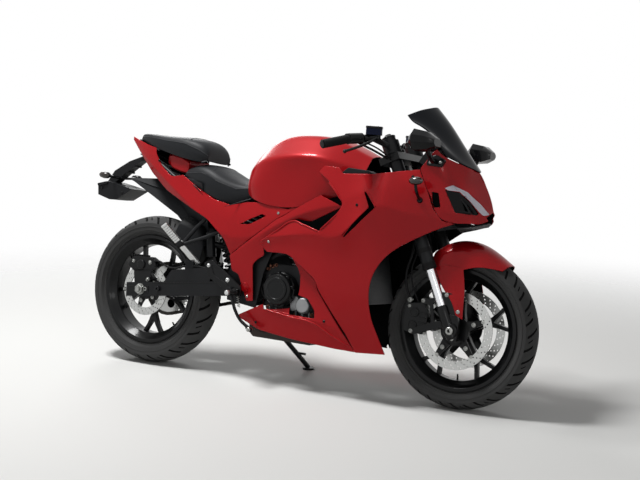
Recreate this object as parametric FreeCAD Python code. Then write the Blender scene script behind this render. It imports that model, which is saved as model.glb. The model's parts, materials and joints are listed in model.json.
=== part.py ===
import FreeCAD, Part
import math
import os

V = FreeCAD.Vector

# Frame of the upright machine, in millimetres: x forward, y to its left, z up from the ground. The steering head and
# the engine hold their places, each wheel stands on the ground, and the rear axle lies a wheelbase behind the front.
# Stance and steering
HEAD_X = 1140.17              # middle of the steering head
HEAD_Z = 790.76
HEAD_HEIGHT = 560             # of that point along the fork; every height along the fork has the same start
WHEELBASE = 1399
LEAN = 7.0                    # degrees to the left, on the side stand
RAKE = 24.0                   # steering axis back from upright, degrees
CLAMP_OFFSET = 28             # fork legs ahead of the steering axis
AXLE_LEAD = 6                 # front axle ahead of the fork legs' line
FORK_SPREAD = 100             # each leg from the middle plane
FORK_TUBE_R = 25
FORK_SLIDER_R = 17
FORK_FOOT_R = 22
FORK_FOOT_LOW = 34            # cast foot below and above the axle, along the leg
FORK_FOOT_HIGH = 95
FORK_TUBE_FOOT = 255          # lower end of the upper tubes, along the fork
STEM_R = 14
STEM_BORE_R = 9               # the stem is hollow
STEER_LIMIT = 30              # degrees to each side
CLAMP_HEIGHTS = (470, 675)    # along the fork legs
CLAMP_THICK = 28
RUNNING_GAP = 0.4             # between a turning piece and what carries it
SEAM = 0.4                    # between pieces that only lie against each other

# Wheels
REAR_R = 310
REAR_TYRE_W = 140
REAR_CROWN_DROP = 32          # tread shoulder below the crown
FRONT_R = 293
FRONT_TYRE_W = 110
FRONT_CROWN_DROP = 26
CONTACT_SHARE = 0.161         # of the half width, where the leaned tyre meets the ground
TYRE_FOOT_IN = 12.2           # foot of each tyre wall inside the rim's edge
RIM_SEAT_R = 215
RIM_FLANGE = 13               # flange above the bead seat
RIM_DROP = 19                 # well below the bead seat
RIM_WALL = 8
REAR_RIM_HALF = 58
FRONT_RIM_HALF = 46
HUB_R = 32
AXLE_R = 10
SPOKES = 5
SPOKE_THICK = 24
FRONT_DISC_R = 145
REAR_DISC_R = 110
DISC_THICK = 5
DISC_BAND = 32                # braking track, radially
FRONT_DISC_Y = 66             # disc's middle from the middle plane
REAR_DISC_Y = 80
CALIPER_GAP = 3               # between a caliper and its disc

# Drive
CHAIN_PITCH = 15.875
REAR_TEETH = 43
FRONT_TEETH = 14
CHAIN_Y = 84                  # middle of the chain from the middle plane, left
CHAIN_W = 14
CHAIN_H = 15
SPROCKET_THICK = 6
FRONT_SPROCKET = (545, 372)

# Chassis
PIVOT = (480, 358)            # swingarm pivot
PIVOT_R = 20
ARM_H = 58
ARM_W = 22
ARM_Y = 106                   # middle of an arm
SPAR_IN = 101                 # faces of the frame's spars from the middle plane
SPAR_OUT = 119
PLATE_THICK = 6
RAIL_R = 11
BRACE_R = 9
PANEL_WALL = 3.5
SCREEN_WALL = 4
ENGINE_HALF = 105             # right half width of the crankcase
ENGINE_LEFT = 72              # left half width, inside the chain
ENGINE_COVER = (687, 375)
ENGINE_COVER_R = 68
ENGINE_COVER_OUT = 165        # its outer face from the middle plane
BAR_R = 11
BAR_BORE_R = 7                # handlebar tube, open at its end
BAR_BORE_DEPTH = 60
GRIP_R = 16.5
BOBBIN_AHEAD = 92             # threaded bosses for stand bobbins, on the arms' outer faces, ahead of the axle
BOBBIN_R = 11
BOBBIN_HOLE_R = 4
BOBBIN_DEPTH = 10
RADIATOR_HALF = 135
STAND_PIVOT = V(535, 100, 205)
STAND_FOOT = (632, 244)       # its height follows from the ground
STAND_FOLDED = V(-0.965, 0.16, -0.10)
STAND_R = 10
STAND_EYE_R = 16
STAND_EYE_W = 22
STAND_CHEEK = 8

# Worked out from these
SIN_RAKE = math.sin(math.radians(RAKE))
COS_RAKE = math.cos(math.radians(RAKE))
STEER_UP = V(-SIN_RAKE, 0, COS_RAKE)
STEER_FORWARD = V(COS_RAKE, 0, SIN_RAKE)
STEER_BASE = V(HEAD_X, 0, HEAD_Z) - STEER_UP * HEAD_HEIGHT
LEG_BASE = STEER_BASE + STEER_FORWARD * CLAMP_OFFSET
AXLE_HEIGHT = (FRONT_R - LEG_BASE.z - AXLE_LEAD * SIN_RAKE) / COS_RAKE
FRONT_AXLE = LEG_BASE + STEER_FORWARD * AXLE_LEAD + STEER_UP * AXLE_HEIGHT
REAR_AXLE = V(FRONT_AXLE.x - WHEELBASE, 0, REAR_R)
RIM_FLANGE_R = RIM_SEAT_R + RIM_FLANGE
RIM_WELL_R = RIM_SEAT_R - RIM_DROP
COS_LEAN = math.cos(math.radians(LEAN))
SIN_LEAN = math.sin(math.radians(LEAN))
ARM_RISE = (PIVOT[1] - REAR_R) / (PIVOT[0] - REAR_AXLE.x)
SIDE = V(0, 1, 0)


def crown_radius(width, drop):
    half = width / 2
    return (half * half + drop * drop) / (2 * drop)


# The leaned tyres stand on their crowns, so each axle rises a little
REAR_LIFT = crown_radius(REAR_TYRE_W, REAR_CROWN_DROP) * (1 - COS_LEAN)
FRONT_LIFT = crown_radius(FRONT_TYRE_W, FRONT_CROWN_DROP) * (1 - COS_LEAN)
NOSE_DOWN = math.degrees(math.atan2(REAR_LIFT - FRONT_LIFT, WHEELBASE))
turn = FreeCAD.Rotation(SIDE, NOSE_DOWN)
contact = V(REAR_AXLE.x, 0, 0)
stance = FreeCAD.Placement(contact + V(0, 0, REAR_LIFT) - turn.multVec(contact), turn)
stance = stance.multiply(FreeCAD.Placement(V(0, 0, 0), FreeCAD.Rotation(V(1, 0, 0), -LEAN)))


# Shapes

def fork_point(height, y=0.0):
    """A point on a fork leg's middle line, at a height along the fork."""
    return LEG_BASE + STEER_UP * height + V(0, y, 0)


def steer_point(height, y=0.0):
    """A point on the steering axis, at the same kind of height."""
    return STEER_BASE + STEER_UP * height + V(0, y, 0)


def around(centre, points):
    """Side-view points that are given from a wheel's axle."""
    return [(centre.x + x, centre.z + z) for x, z in points]


def rod(start, end, radius):
    return Part.makeCylinder(radius, (end - start).Length, start, end - start)


def across(x, z, y0, y1, radius):
    """A cylinder that runs across the machine from y0 to y1."""
    return rod(V(x, y0, z), V(x, y1, z), radius)


def cone(start, end, r_start, r_end):
    return Part.makeCone(r_start, r_end, (end - start).Length, start, end - start)


def tube(points, radius):
    """Round bar along a path, mitred at its bends."""
    ring = Part.Wire([Part.makeCircle(radius, points[0], points[1] - points[0])])
    return Part.makePolygon(points).makePipeShell([ring], True, False, 1)


def fused(shapes):
    return shapes[0].fuse(shapes[1:]).removeSplitter()


def mirrored(shape):
    return shape.mirror(V(0, 0, 0), SIDE)


def largest(shape):
    return max(shape.Solids, key=lambda solid: solid.Volume)


def both(shape):
    """A piece and its twin on the other side, as solids that do not touch."""
    return Part.makeCompound([shape, mirrored(shape)])


def outline_wire(points):
    """A closed side-view outline: (x, z) is a line to that point, (mid, end) an arc through mid to end."""
    edges = []
    last = first = V(points[0][0], 0, points[0][1])
    for p in list(points[1:]) + [points[0]]:
        bends = isinstance(p[0], tuple)
        end = p[1] if bends else p
        target = V(end[0], 0, end[1])
        if edges and last.isEqual(first, 1e-6):
            break
        if bends:
            edges.append(Part.Arc(last, V(p[0][0], 0, p[0][1]), target).toShape())
        else:
            edges.append(Part.makeLine(last, target))
        last = target
    return Part.Wire(edges)


def prism(points, y0, y1):
    """A side-view outline extruded from y0 to y1."""
    face = Part.Face(outline_wire(points))
    face.translate(V(0, y0, 0))
    return face.extrude(V(0, y1 - y0, 0))


def revolved(profile, centre):
    """A closed profile of (y, r) points turned about the axle through centre."""
    face = Part.Face(Part.makePolygon([V(r, y, 0) for y, r in profile + profile[:1]]))
    solid = face.revolve(V(0, 0, 0), SIDE, 360)
    solid.translate(centre)
    return solid


def triangle(a, b, c):
    return Part.Face(Part.makePolygon([a, b, c, a]))


def closed_solid(faces):
    solid = Part.Solid(Part.Shell(faces))
    if solid.Volume < 0:
        solid.reverse()
    return solid


def loft(sections):
    """A solid through closed sections with equal point counts, skinned with flat facets."""
    count = len(sections[0])
    faces = []
    for a, b in zip(sections, sections[1:]):
        for k in range(count):
            n = (k + 1) % count
            faces += [triangle(a[k], a[n], b[n]), triangle(a[k], b[n], b[k])]
    for end in (sections[0], sections[-1]):
        faces += [triangle(end[0], end[k], end[k + 1]) for k in range(1, count - 1)]
    return closed_solid(faces)


def symmetric(half):
    """A closed section from its right half, listed from the middle out as (x, half width, z)."""
    right = [V(x, -h, z) for x, h, z in half]
    left = [V(x, h, z) for x, h, z in half if h]
    return right[::-1] + left


def grid_normals(grid, outward):
    rows, columns = len(grid), len(grid[0])

    def normal(i, j):
        down = grid[min(i + 1, rows - 1)][j] - grid[max(i - 1, 0)][j]
        along = grid[i][min(j + 1, columns - 1)] - grid[i][max(j - 1, 0)]
        n = down.cross(along).normalize()
        if n.dot(outward) < 0:
            n = n * -1
        if grid[i][j].y == 0:
            n = V(n.x, 0, n.z).normalize()
        return n

    return [[normal(i, j) for j in range(columns)] for i in range(rows)]


def moulding(grid, wall, outward):
    """A moulded wall: flat facets between the grid's points, wall thick on the side away from outward."""
    rows, columns = len(grid), len(grid[0])
    normals = grid_normals(grid, outward)
    inner = [[grid[i][j] - normals[i][j] * wall for j in range(columns)] for i in range(rows)]
    faces = []
    for sheet in (grid, inner):
        for i in range(rows - 1):
            for j in range(columns - 1):
                a, b = sheet[i][j], sheet[i][j + 1]
                c, d = sheet[i + 1][j + 1], sheet[i + 1][j]
                faces += [triangle(a, b, c), triangle(a, c, d)]
    rim = [(0, j) for j in range(columns)] + [(i, columns - 1) for i in range(1, rows)]
    rim += [(rows - 1, j) for j in range(columns - 2, -1, -1)] + [(i, 0) for i in range(rows - 2, 0, -1)]
    for (i, j), (k, m) in zip(rim, rim[1:] + rim[:1]):
        faces += [triangle(grid[i][j], grid[k][m], inner[k][m])]
        faces += [triangle(grid[i][j], inner[k][m], inner[i][j])]
    return closed_solid(faces)


def right_side(rows):
    return [[V(x, -h, z) for x, h, z in row] for row in rows]


def full_width(rows):
    return [symmetric(row) for row in rows]


# Wheels

def rim_profile(half):
    lip, seat, well = RIM_FLANGE_R, RIM_SEAT_R, RIM_WELL_R
    outer = [(half - 32, well), (half - 22, seat - 1), (half - 8, seat), (half - 6, lip), (half, lip)]
    inner = [(half, seat - 3), (half - 26, well - RIM_WALL)]
    mirror_outer = [(-y, r) for y, r in reversed(outer)]
    mirror_inner = [(-y, r) for y, r in reversed(inner)]
    return mirror_outer + outer + inner + mirror_inner


def spoke():
    """One Y spoke along +x: a stem from the hub that splits in two before the rim."""
    reach = RIM_WELL_R - RIM_WALL + 3
    fork = reach - 55
    half = [(HUB_R - 6, 17), (fork - 24, 11), (reach, 52), (reach, 34)]
    outline = [(x, -z) for x, z in half] + [(fork, 0)] + half[::-1]
    return prism(outline, -SPOKE_THICK / 2, SPOKE_THICK / 2)


def rim(centre, half, hub_right, hub_left, turn):
    ring = revolved(rim_profile(half), V(0, 0, 0))
    hub = across(0, 0, -hub_right, hub_left, HUB_R)
    parts = [ring, hub]
    for k in range(SPOKES):
        arm = spoke()
        arm.rotate(V(0, 0, 0), SIDE, turn + 360.0 / SPOKES * k)
        parts.append(arm)
    body = parts[0].fuse(parts[1:]).cut(across(0, 0, -2 * hub_right, 2 * hub_left, AXLE_R + RUNNING_GAP))
    body.translate(centre)
    return body


def tyre(centre, radius, width, drop, rim_half):
    """A tyre's section in outline: a round crown, straight walls and a foot that seats inside the rim's flanges."""
    half = width / 2
    crown = crown_radius(width, drop)
    foot = rim_half - TYRE_FOOT_IN
    seat = RIM_SEAT_R + 0.2

    def tread(share):
        y = half * share
        return (y, radius - crown + math.sqrt(crown * crown - y * y))

    right = [tread(share) for share in (CONTACT_SHARE, 0.62, 1.0)] + [(foot, seat)]
    return revolved(right + [(-y, r) for y, r in reversed(right)], centre)


def disc(centre, y, radius, carrier_r):
    """A braking ring on a five-armed carrier."""
    y0, y1 = y - DISC_THICK / 2, y + DISC_THICK / 2
    track_in = radius - DISC_BAND
    track = across(0, 0, y0, y1, radius).cut(across(0, 0, y0, y1, track_in))
    parts = [across(0, 0, y0, y1, carrier_r)]
    for k in range(SPOKES):
        arm = prism([(carrier_r / 2, -11), (track_in + 6, -9), (track_in + 6, 9), (carrier_r / 2, 11)], y0, y1)
        arm.rotate(V(0, 0, 0), SIDE, 36 + 360.0 / SPOKES * k)
        parts.append(arm)
    whole = track.fuse(parts).cut(across(0, 0, y0, y1, AXLE_R + 8))
    whole.translate(centre)
    return whole


def pitch_radius(teeth):
    return CHAIN_PITCH / (2 * math.sin(math.pi / teeth))


def chain_inside(teeth):
    return pitch_radius(teeth) - CHAIN_H / 2


def sprocket(x, z, teeth, gap):
    """A sprocket whose rim ends under the chain's plates, leaving a gap."""
    y0, y1 = CHAIN_Y - SPROCKET_THICK / 2, CHAIN_Y + SPROCKET_THICK / 2
    return across(x, z, y0, y1, chain_inside(teeth) - gap)


def rear_sprocket():
    wheel = sprocket(REAR_AXLE.x, REAR_R, REAR_TEETH, RUNNING_GAP)
    ring = 0.66 * chain_inside(REAR_TEETH)
    for k in range(SPOKES):
        angle = math.radians(360.0 / SPOKES * k)
        wheel = wheel.cut(across(REAR_AXLE.x + ring * math.cos(angle), REAR_R + ring * math.sin(angle), 0, 200, 20))
    return wheel.cut(across(REAR_AXLE.x, REAR_R, 0, 200, AXLE_R + 8))


def drive_chain():
    """One closed loop round both sprockets."""
    gap_x = FRONT_SPROCKET[0] - REAR_AXLE.x
    gap_z = FRONT_SPROCKET[1] - REAR_R
    ra, rb = pitch_radius(REAR_TEETH), pitch_radius(FRONT_TEETH)
    base = math.atan2(gap_z, gap_x)
    lean = math.acos((ra - rb) / math.hypot(gap_x, gap_z))

    def at(x, z, r, angle):
        return (x + r * math.cos(angle), z + r * math.sin(angle))

    def loop(offset):
        rear, front = ra + offset, rb + offset
        fx, fz = FRONT_SPROCKET
        rx = REAR_AXLE.x
        return [
            at(rx, REAR_R, rear, base + lean), at(fx, fz, front, base + lean),
            (at(fx, fz, front, base), at(fx, fz, front, base - lean)), at(rx, REAR_R, rear, base - lean),
            (at(rx, REAR_R, rear, base + math.pi), at(rx, REAR_R, rear, base + lean)),
        ]

    y0, y1 = CHAIN_Y - CHAIN_W / 2, CHAIN_Y + CHAIN_W / 2
    return prism(loop(CHAIN_H / 2), y0, y1).cut(prism(loop(-CHAIN_H / 2), y0, y1))


# Steering

def fork_tubes():
    top = fork_point(CLAMP_HEIGHTS[1] + 80, -FORK_SPREAD)
    return both(rod(fork_point(FORK_TUBE_FOOT, -FORK_SPREAD), top, FORK_TUBE_R))


def fork_sliders():
    """Bright lower legs with the cast feet that hold the axle and the mudguard."""
    low, high = AXLE_HEIGHT - FORK_FOOT_LOW, AXLE_HEIGHT + FORK_FOOT_HIGH
    leg = rod(fork_point(high - 5, -FORK_SPREAD), fork_point(FORK_TUBE_FOOT, -FORK_SPREAD), FORK_SLIDER_R)
    foot = rod(fork_point(low, -FORK_SPREAD), fork_point(high, -FORK_SPREAD), FORK_FOOT_R)
    lug = prism(around(FRONT_AXLE, [(-47, 57), (21, 47), (13, 79), (-3, 135), (-64, 137)]),
                -FORK_SPREAD - 3, -FORK_SPREAD + 6)
    bore = across(FRONT_AXLE.x, FRONT_AXLE.z, -200, 0, AXLE_R)
    return both(fused([leg, foot, lug]).cut(bore))


def front_axle():
    """Axle with the spacers that keep the wheel midway between the fork feet."""
    inner = FRONT_DISC_Y + DISC_THICK / 2 + RUNNING_GAP
    x, z = FRONT_AXLE.x, FRONT_AXLE.z
    spacer = across(x, z, -(FORK_SPREAD - FORK_FOOT_R - 1), -inner, 17)
    axle = across(x, z, -FORK_SPREAD - 20, FORK_SPREAD + 20, AXLE_R)
    feet = fork_sliders()
    return fused([axle, spacer.cut(feet), mirrored(spacer).cut(feet)])


def triple_clamps():
    """Lower and upper clamps on the hollow steering stem."""
    parts = [rod(steer_point(CLAMP_HEIGHTS[0] - 20), steer_point(CLAMP_HEIGHTS[1] + 15), STEM_R)]
    for height in CLAMP_HEIGHTS:
        bar = prism([(-CLAMP_OFFSET - 24, 0), (30, 0), (30, CLAMP_THICK), (-CLAMP_OFFSET - 24, CLAMP_THICK)],
                    -FORK_SPREAD - 32, FORK_SPREAD + 32)
        bar.translate(V(0, 0, -CLAMP_THICK / 2))
        bar.rotate(V(0, 0, 0), SIDE, -RAKE)
        bar.translate(fork_point(height))
        parts.append(bar)
    clamps = fused(parts).cut(rod(steer_point(400), steer_point(750), STEM_BORE_R))
    return clamps.cut(fork_tubes())


def front_calipers():
    """A caliper astride each disc, bolted to the fork foot by two ears."""
    outer_y = FRONT_DISC_Y + 26
    rim_x = FRONT_DISC_R          # the caliper sits on the disc's rear edge
    body = prism(around(FRONT_AXLE, [(-rim_x - 47, -25), (-rim_x + 36, -31), (-rim_x + 46, 37), (-rim_x + 28, 93),
                                     (-rim_x - 40, 83), (-rim_x - 56, 27)]), -outer_y, -FRONT_DISC_Y + 22)
    slot_half = DISC_THICK / 2 + CALIPER_GAP
    slot = across(FRONT_AXLE.x, FRONT_AXLE.z, -FRONT_DISC_Y - slot_half, -FRONT_DISC_Y + slot_half,
                  FRONT_DISC_R + CALIPER_GAP)
    ears = prism(around(FRONT_AXLE, [(-rim_x + 6, -8), (-37, 7), (-53, 99), (-rim_x + 6, 79)]), -outer_y,
                 -FRONT_DISC_Y - slot_half - 3)
    return both(fused([body, ears]).cut(slot).cut(fork_sliders()))


MUDGUARD_ROWS = [
    # from the tail to the tip: (x, half width, z) from the middle out, measured from the top of the tyre
    [(-109, 0, -6), (-109, 45, -14), (-107, 70, -38), (-101, 82, -70)],
    [(-59, 0, 24), (-59, 45, 14), (-61, 72, -16), (-65, 86, -64)],
    [(5, 0, 36), (5, 45, 24), (1, 70, -8), (-3, 84, -74)],
    [(85, 0, 18), (83, 45, 6), (79, 66, -21), (71, 78, -56)],
    [(178, 0, -41), (175, 30, -45), (169, 46, -52), (161, 56, -62)],
]
MUDGUARD_LEG = [
    # down to the lug on the fork foot: the first row from the top of the tyre, the others from the axle
    [(-99, 81, -54), (-39, 85, -58), (19, 81, -62)],
    [(-54, 95, 159), (-9, 98, 155), (35, 92, 153)],
    [(-11, 106.5, 111), (12, 107.5, 107), (39, 101, 105)],
    [(13, 107, 59), (25, 107.5, 53), (41, 105, 45)],
]


def shifted(row, x, z):
    return [(x + a, h, z + c) for a, h, c in row]


def front_mudguard():
    """A guard over the tyre with a leg down each side to the fork foot."""
    crown = FRONT_AXLE.z + FRONT_R
    top = moulding(full_width([shifted(row, FRONT_AXLE.x, crown) for row in MUDGUARD_ROWS]), PANEL_WALL, V(0.2, 0, 1))
    legs = [shifted(MUDGUARD_LEG[0], FRONT_AXLE.x, crown)]
    legs += [shifted(row, FRONT_AXLE.x, FRONT_AXLE.z) for row in MUDGUARD_LEG[1:]]
    leg = moulding(right_side(legs), PANEL_WALL, V(0, -1, 0))
    return fused([top, leg, mirrored(leg)]).cut(fork_sliders()).cut(fork_tubes())


def bar_line(side):
    """A handlebar's line, from its clamp on the fork tube out to its end."""
    return [
        fork_point(CLAMP_HEIGHTS[1] + 48, side * (FORK_SPREAD + FORK_TUBE_R + 4)),
        V(1050, side * 165, 974),
        V(990, side * 240, 962),
        V(938, side * 345, 930),
    ]


def handlebar(side):
    p = bar_line(side)
    low, high = CLAMP_HEIGHTS[1] + CLAMP_THICK / 2 + 2, CLAMP_HEIGHTS[1] + 64
    clamp = rod(fork_point(low, side * FORK_SPREAD), fork_point(high, side * FORK_SPREAD), FORK_TUBE_R + 8)
    inward = (p[2] - p[3]).normalize()
    bore = rod(p[3] - inward, p[3] + inward * BAR_BORE_DEPTH, BAR_BORE_R)
    return fused([clamp, tube(p, BAR_R)]).cut(fork_tubes()).cut(bore)


def grip(side):
    p = bar_line(side)
    along = (p[3] - p[2]).normalize()
    sleeve = rod(p[2] + along * 4, p[3] - along * 3, GRIP_R)
    return sleeve.cut(rod(p[2], p[3], BAR_R))


def hand_control(side):
    """Switch block and lever perch on the bar, with the lever and a fluid reservoir."""
    p = bar_line(side)
    along = (p[2] - p[1]).normalize()
    block = rod(p[1] + along * 42, p[2] - along * 1, 20)
    perch = rod(p[1] + along * 20, p[1] + along * 40, 17)
    arm = rod(p[1] + along * 30, V(1082, side * 186, 978), 9)
    post = rod(p[1] + along * 30, V(1066, side * 172, 1000), 8)
    reservoir = rod(V(1066, side * 172, 992), V(1068, side * 172, 1024), 21)
    lever = tube([V(1082, side * 178, 978), V(1070, side * 245, 948), V(1028, side * 335, 908)], 6)
    whole = fused([block, perch, arm, post, reservoir, lever])
    return whole.cut(tube(p, BAR_R))


# Frame and running gear

def arm_point(x, up):
    """A point at x along a swingarm's middle line and up from it."""
    return (x - up * ARM_RISE, REAR_R + (x - REAR_AXLE.x) * ARM_RISE + up)


def swingarm():
    """Two box arms joined by a bridge, braced on top, with the rear axle through their ends."""
    h = ARM_H / 2
    tail, front = REAR_AXLE.x, PIVOT[0]
    inner, outer = ARM_Y - ARM_W / 2, ARM_Y + ARM_W / 2
    outline = [arm_point(tail - 74, -h), arm_point(front - 60, -h), arm_point(front + 8, -22), arm_point(front + 24, 0),
               arm_point(front + 8, 22), arm_point(front - 60, h), arm_point(tail - 70, h)]
    arm = prism(outline, -outer, -inner)
    brace = prism([arm_point(tail + 120, h), arm_point(front - 135, h), arm_point(front - 123, 74),
                   arm_point(front - 154, 85), arm_point(tail + 158, 77)], -outer + 3, -inner - 3)
    side = arm.fuse(brace)
    bridge = prism([arm_point(front - 108, -28), arm_point(front - 50, -28), arm_point(front - 50, 26),
                    arm_point(front - 108, 26)], -inner, inner)
    pivot = across(PIVOT[0], PIVOT[1], -inner, inner, PIVOT_R)
    bolt = across(PIVOT[0], PIVOT[1], -SPAR_OUT, SPAR_OUT, 9)
    hub_gap = REAR_DISC_Y + DISC_THICK / 2 + RUNNING_GAP
    sprocket_gap = CHAIN_Y + SPROCKET_THICK / 2 + RUNNING_GAP
    spacers = [across(tail, REAR_R, -inner, -hub_gap, 17), across(tail, REAR_R, sprocket_gap, inner, 17)]
    axle = across(tail, REAR_R, -outer - 22, outer + 22, AXLE_R)
    nuts = [across(tail, REAR_R, -outer - 12, -outer, 17), across(tail, REAR_R, outer, outer + 12, 17)]
    return fused([side, mirrored(side), bridge, pivot, bolt, axle] + spacers + nuts)


def stand_bobbins():
    """Threaded bosses on the arms' outer faces, for the bobbins of a lifting stand."""
    face = -ARM_Y - ARM_W / 2
    x, z = arm_point(REAR_AXLE.x + BOBBIN_AHEAD, 0)
    boss = across(x, z, face - BOBBIN_DEPTH, face, BOBBIN_R)
    return both(boss.cut(across(x, z, face - BOBBIN_DEPTH, face, BOBBIN_HOLE_R)))


SPAR_OUTLINE = [
    (1045, 752), (1040, 838), (960, 822), (800, 738), (620, 640), (560, 600), (590, 520), (660, 560), (800, 645),
    (960, 742),
]
PLATE_OUTLINE = [(440, 310), (575, 290), (600, 430), (650, 556), (610, 632), (500, 560), (430, 400)]
CROSS_OUTLINE = [(1000, 740), (1045, 752), (1040, 838), (1000, 830)]
TIE = (560, 550)


def main_frame():
    """Twin spars joined by a cross-member and a neck to the steering head, with plates at the swingarm pivot."""
    head = rod(steer_point(494), steer_point(654), 28)
    neck = prism([(1030, 760), (1150, 765), (1112, 838), (1030, 836)], -24, 24)
    cross = prism(CROSS_OUTLINE, -SPAR_OUT, SPAR_OUT)
    spar = prism(SPAR_OUTLINE, -SPAR_OUT, -SPAR_IN)
    plate = prism(PLATE_OUTLINE, -SPAR_OUT - PLATE_THICK, -SPAR_OUT)
    tie = across(TIE[0], TIE[1], -SPAR_OUT, SPAR_OUT, 16)
    bore = rod(steer_point(480), steer_point(668), STEM_R + RUNNING_GAP)
    return fused([head, neck, cross, spar, mirrored(spar), plate, mirrored(plate), tie]).cut(bore)


SHOCK_TOP = (318, 628)
RAIL = [V(600, -96, 590), V(240, -80, 700), V(20, -50, 830), V(-90, -40, 880)]
BRACE = [V(560, -96, 470), V(240, -82, 690)]


def subframe():
    """Seat rails with lower braces, a tie at the tail and a cross tube for the shock absorber."""
    side = [tube(RAIL, RAIL_R), rod(BRACE[0], BRACE[1], BRACE_R)]
    tie = across(20, 830, -50, 50, BRACE_R)
    cross = across(SHOCK_TOP[0], SHOCK_TOP[1], -84, 84, BRACE_R)
    lug = prism([(540, 452), (585, 452), (585, 486), (540, 486)], -SPAR_OUT, -90)
    return fused(side + [lug] + [mirrored(s) for s in side + [lug]] + [tie, cross]).cut(main_frame())


def engine():
    """Crankcase and inclined cylinder as one closed block, on lugs that reach the frame's plates."""
    case = prism([(610, 300), (625, 262), (850, 262), (880, 320), (870, 430), (800, 470), (640, 470), (600, 430)],
                 -ENGINE_HALF, ENGINE_LEFT)
    gearbox = prism([(512, 318), (610, 300), (610, 450), (530, 440)], -ENGINE_LEFT, ENGINE_LEFT)
    barrel = prism([(690, 460), (820, 440), (880, 640), (760, 680)], -95, 95)
    mounts = [across(x, z, -SPAR_OUT, SPAR_OUT, 11) for x, z in ((560, 308), (592, 439))]
    top_mount = across(740, 650, -SPAR_IN, SPAR_IN, 12)
    shaft = across(FRONT_SPROCKET[0], FRONT_SPROCKET[1], ENGINE_LEFT, CHAIN_Y + 8, 12)
    wheel = sprocket(FRONT_SPROCKET[0], FRONT_SPROCKET[1], FRONT_TEETH, SEAM)
    return fused([case, gearbox, barrel, top_mount, shaft, wheel] + mounts)


def round_cover(inner, outer):
    """A bolted round cover: a drum with a raised cap, its flat back at inner."""
    x, z = ENGINE_COVER
    step = 4 if outer > inner else -4
    return fused([across(x, z, inner, outer, ENGINE_COVER_R), across(x, z, outer, outer + step, ENGINE_COVER_R - 22)])


def engine_covers():
    return Part.makeCompound([round_cover(-ENGINE_HALF, -ENGINE_COVER_OUT), round_cover(ENGINE_LEFT, ENGINE_COVER_OUT - 12)])


def exhaust():
    """Header pipe, collector box below the engine and a short outlet on the right."""
    box = prism([(520, 190), (540, 172), (800, 166), (830, 190), (820, 246), (540, 246)], -70, 70)
    header = tube([V(850, 40, 560), V(925, 40, 520), V(940, 36, 300), V(900, 30, 215), V(780, 25, 208)], 19)
    outlet = cone(V(590, -60, 215), V(550, -108, 222), 25, 17)
    bracket = prism([(640, 240), (680, 240), (680, 262), (640, 262)], -20, 20)
    return fused([box, header, outlet, bracket]).cut(engine())


def radiator():
    """Core with side tanks, hung from the spars by two brackets."""
    core = prism([(-17, -125), (17, -125), (17, 125), (-17, 125)], -RADIATOR_HALF, RADIATOR_HALF)
    core.rotate(V(0, 0, 0), SIDE, -12)
    core.translate(V(1010, 0, 470))
    hanger = prism([(965, 580), (1000, 586), (1000, 770), (965, 770)], -99, -93)
    foot = prism([(860, 380), (1010, 372), (1010, 390), (860, 398)], -72, -66)
    spars = main_frame()
    return fused([core, hanger, mirrored(hanger), foot, mirrored(foot)]).cut(spars).cut(engine())


def tyre_front(z, clear):
    """How far forward the rear tyre reaches at a height, with a clearance added to its radius."""
    reach = REAR_R + clear
    return REAR_AXLE.x + math.sqrt(reach * reach - (z - REAR_R) ** 2)


def rear_shock():
    """Damper between the swingarm's bridge and the subframe, with its reservoir alongside."""
    top = V(SHOCK_TOP[0], 0, SHOCK_TOP[1])
    foot = V(392, 0, 400)
    along = (top - foot).normalize()
    body = rod(foot + along * 12, top - along * 10, 24)
    eyes = [across(top.x, top.z, -14, 14, 17), across(foot.x, foot.z, -14, 14, 17)]
    low, high = tyre_front(470, 27), tyre_front(570, 75)
    reservoir = rod(V(low, -46, 470), V(high, -46, 570), 20)
    clip = rod(V((low + high) / 2, -46, 525), foot + (top - foot) * 0.5, 13)
    return fused([body, reservoir, clip] + eyes).cut(subframe()).cut(swingarm())


HUGGER_ROWS = [
    # (x, half width, z) from the middle out, measured from the top of the tyre
    [(268, 0, -100), (268, 55, -106), (264, 74, -136), (256, 75, -182)],
    [(238, 0, -18), (234, 52, -28), (222, 74, -60), (214, 76, -170)],
    [(150, 0, 6), (148, 50, -2), (142, 72, -24), (130, 80, -60)],
]


def rear_hugger():
    """Mudguard over the rear tyre, held on the swingarm's braces."""
    tail, crown = REAR_AXLE.x, 2 * REAR_R
    guard = moulding(full_width([shifted(row, tail, crown) for row in HUGGER_ROWS]), PANEL_WALL, V(0.6, 0, 1))
    back, front = (tail + 218, crown - 174), (tail + 254, crown - 180)
    ear = prism([back, front, (front[0], front[1] + 6), (back[0], back[1] + 6)], -ARM_Y - 6, -72)
    foot = prism([arm_point(back[0], 70), arm_point(front[0], 70), (front[0], front[1] + 6), (back[0], back[1] + 4)],
                 -ARM_Y - 6, -ARM_Y)
    return fused([guard, ear, mirrored(ear), foot, mirrored(foot)]).cut(swingarm())


def rear_caliper():
    """Caliper astride the rear disc, on a bracket that stands on the right arm."""
    slot_half = DISC_THICK / 2 + CALIPER_GAP
    top = REAR_DISC_R             # the caliper sits on the disc's upper edge
    body = prism(around(REAR_AXLE, [(-50, top - 42), (40, top - 36), (66, top - 2), (34, top + 28), (-62, top + 26),
                                    (-86, top - 16)]), -REAR_DISC_Y - 24, -REAR_DISC_Y + 18)
    slot = across(REAR_AXLE.x, REAR_R, -REAR_DISC_Y - slot_half, -REAR_DISC_Y + slot_half, REAR_DISC_R + CALIPER_GAP)
    bracket = prism(around(REAR_AXLE, [(-44, 20), (34, 26), (40, top - 28), (-50, top - 32)]), -REAR_DISC_Y - 24,
                    -REAR_DISC_Y - 16)
    return fused([body.cut(slot), bracket]).cut(swingarm())


# Tank and seats

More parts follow.
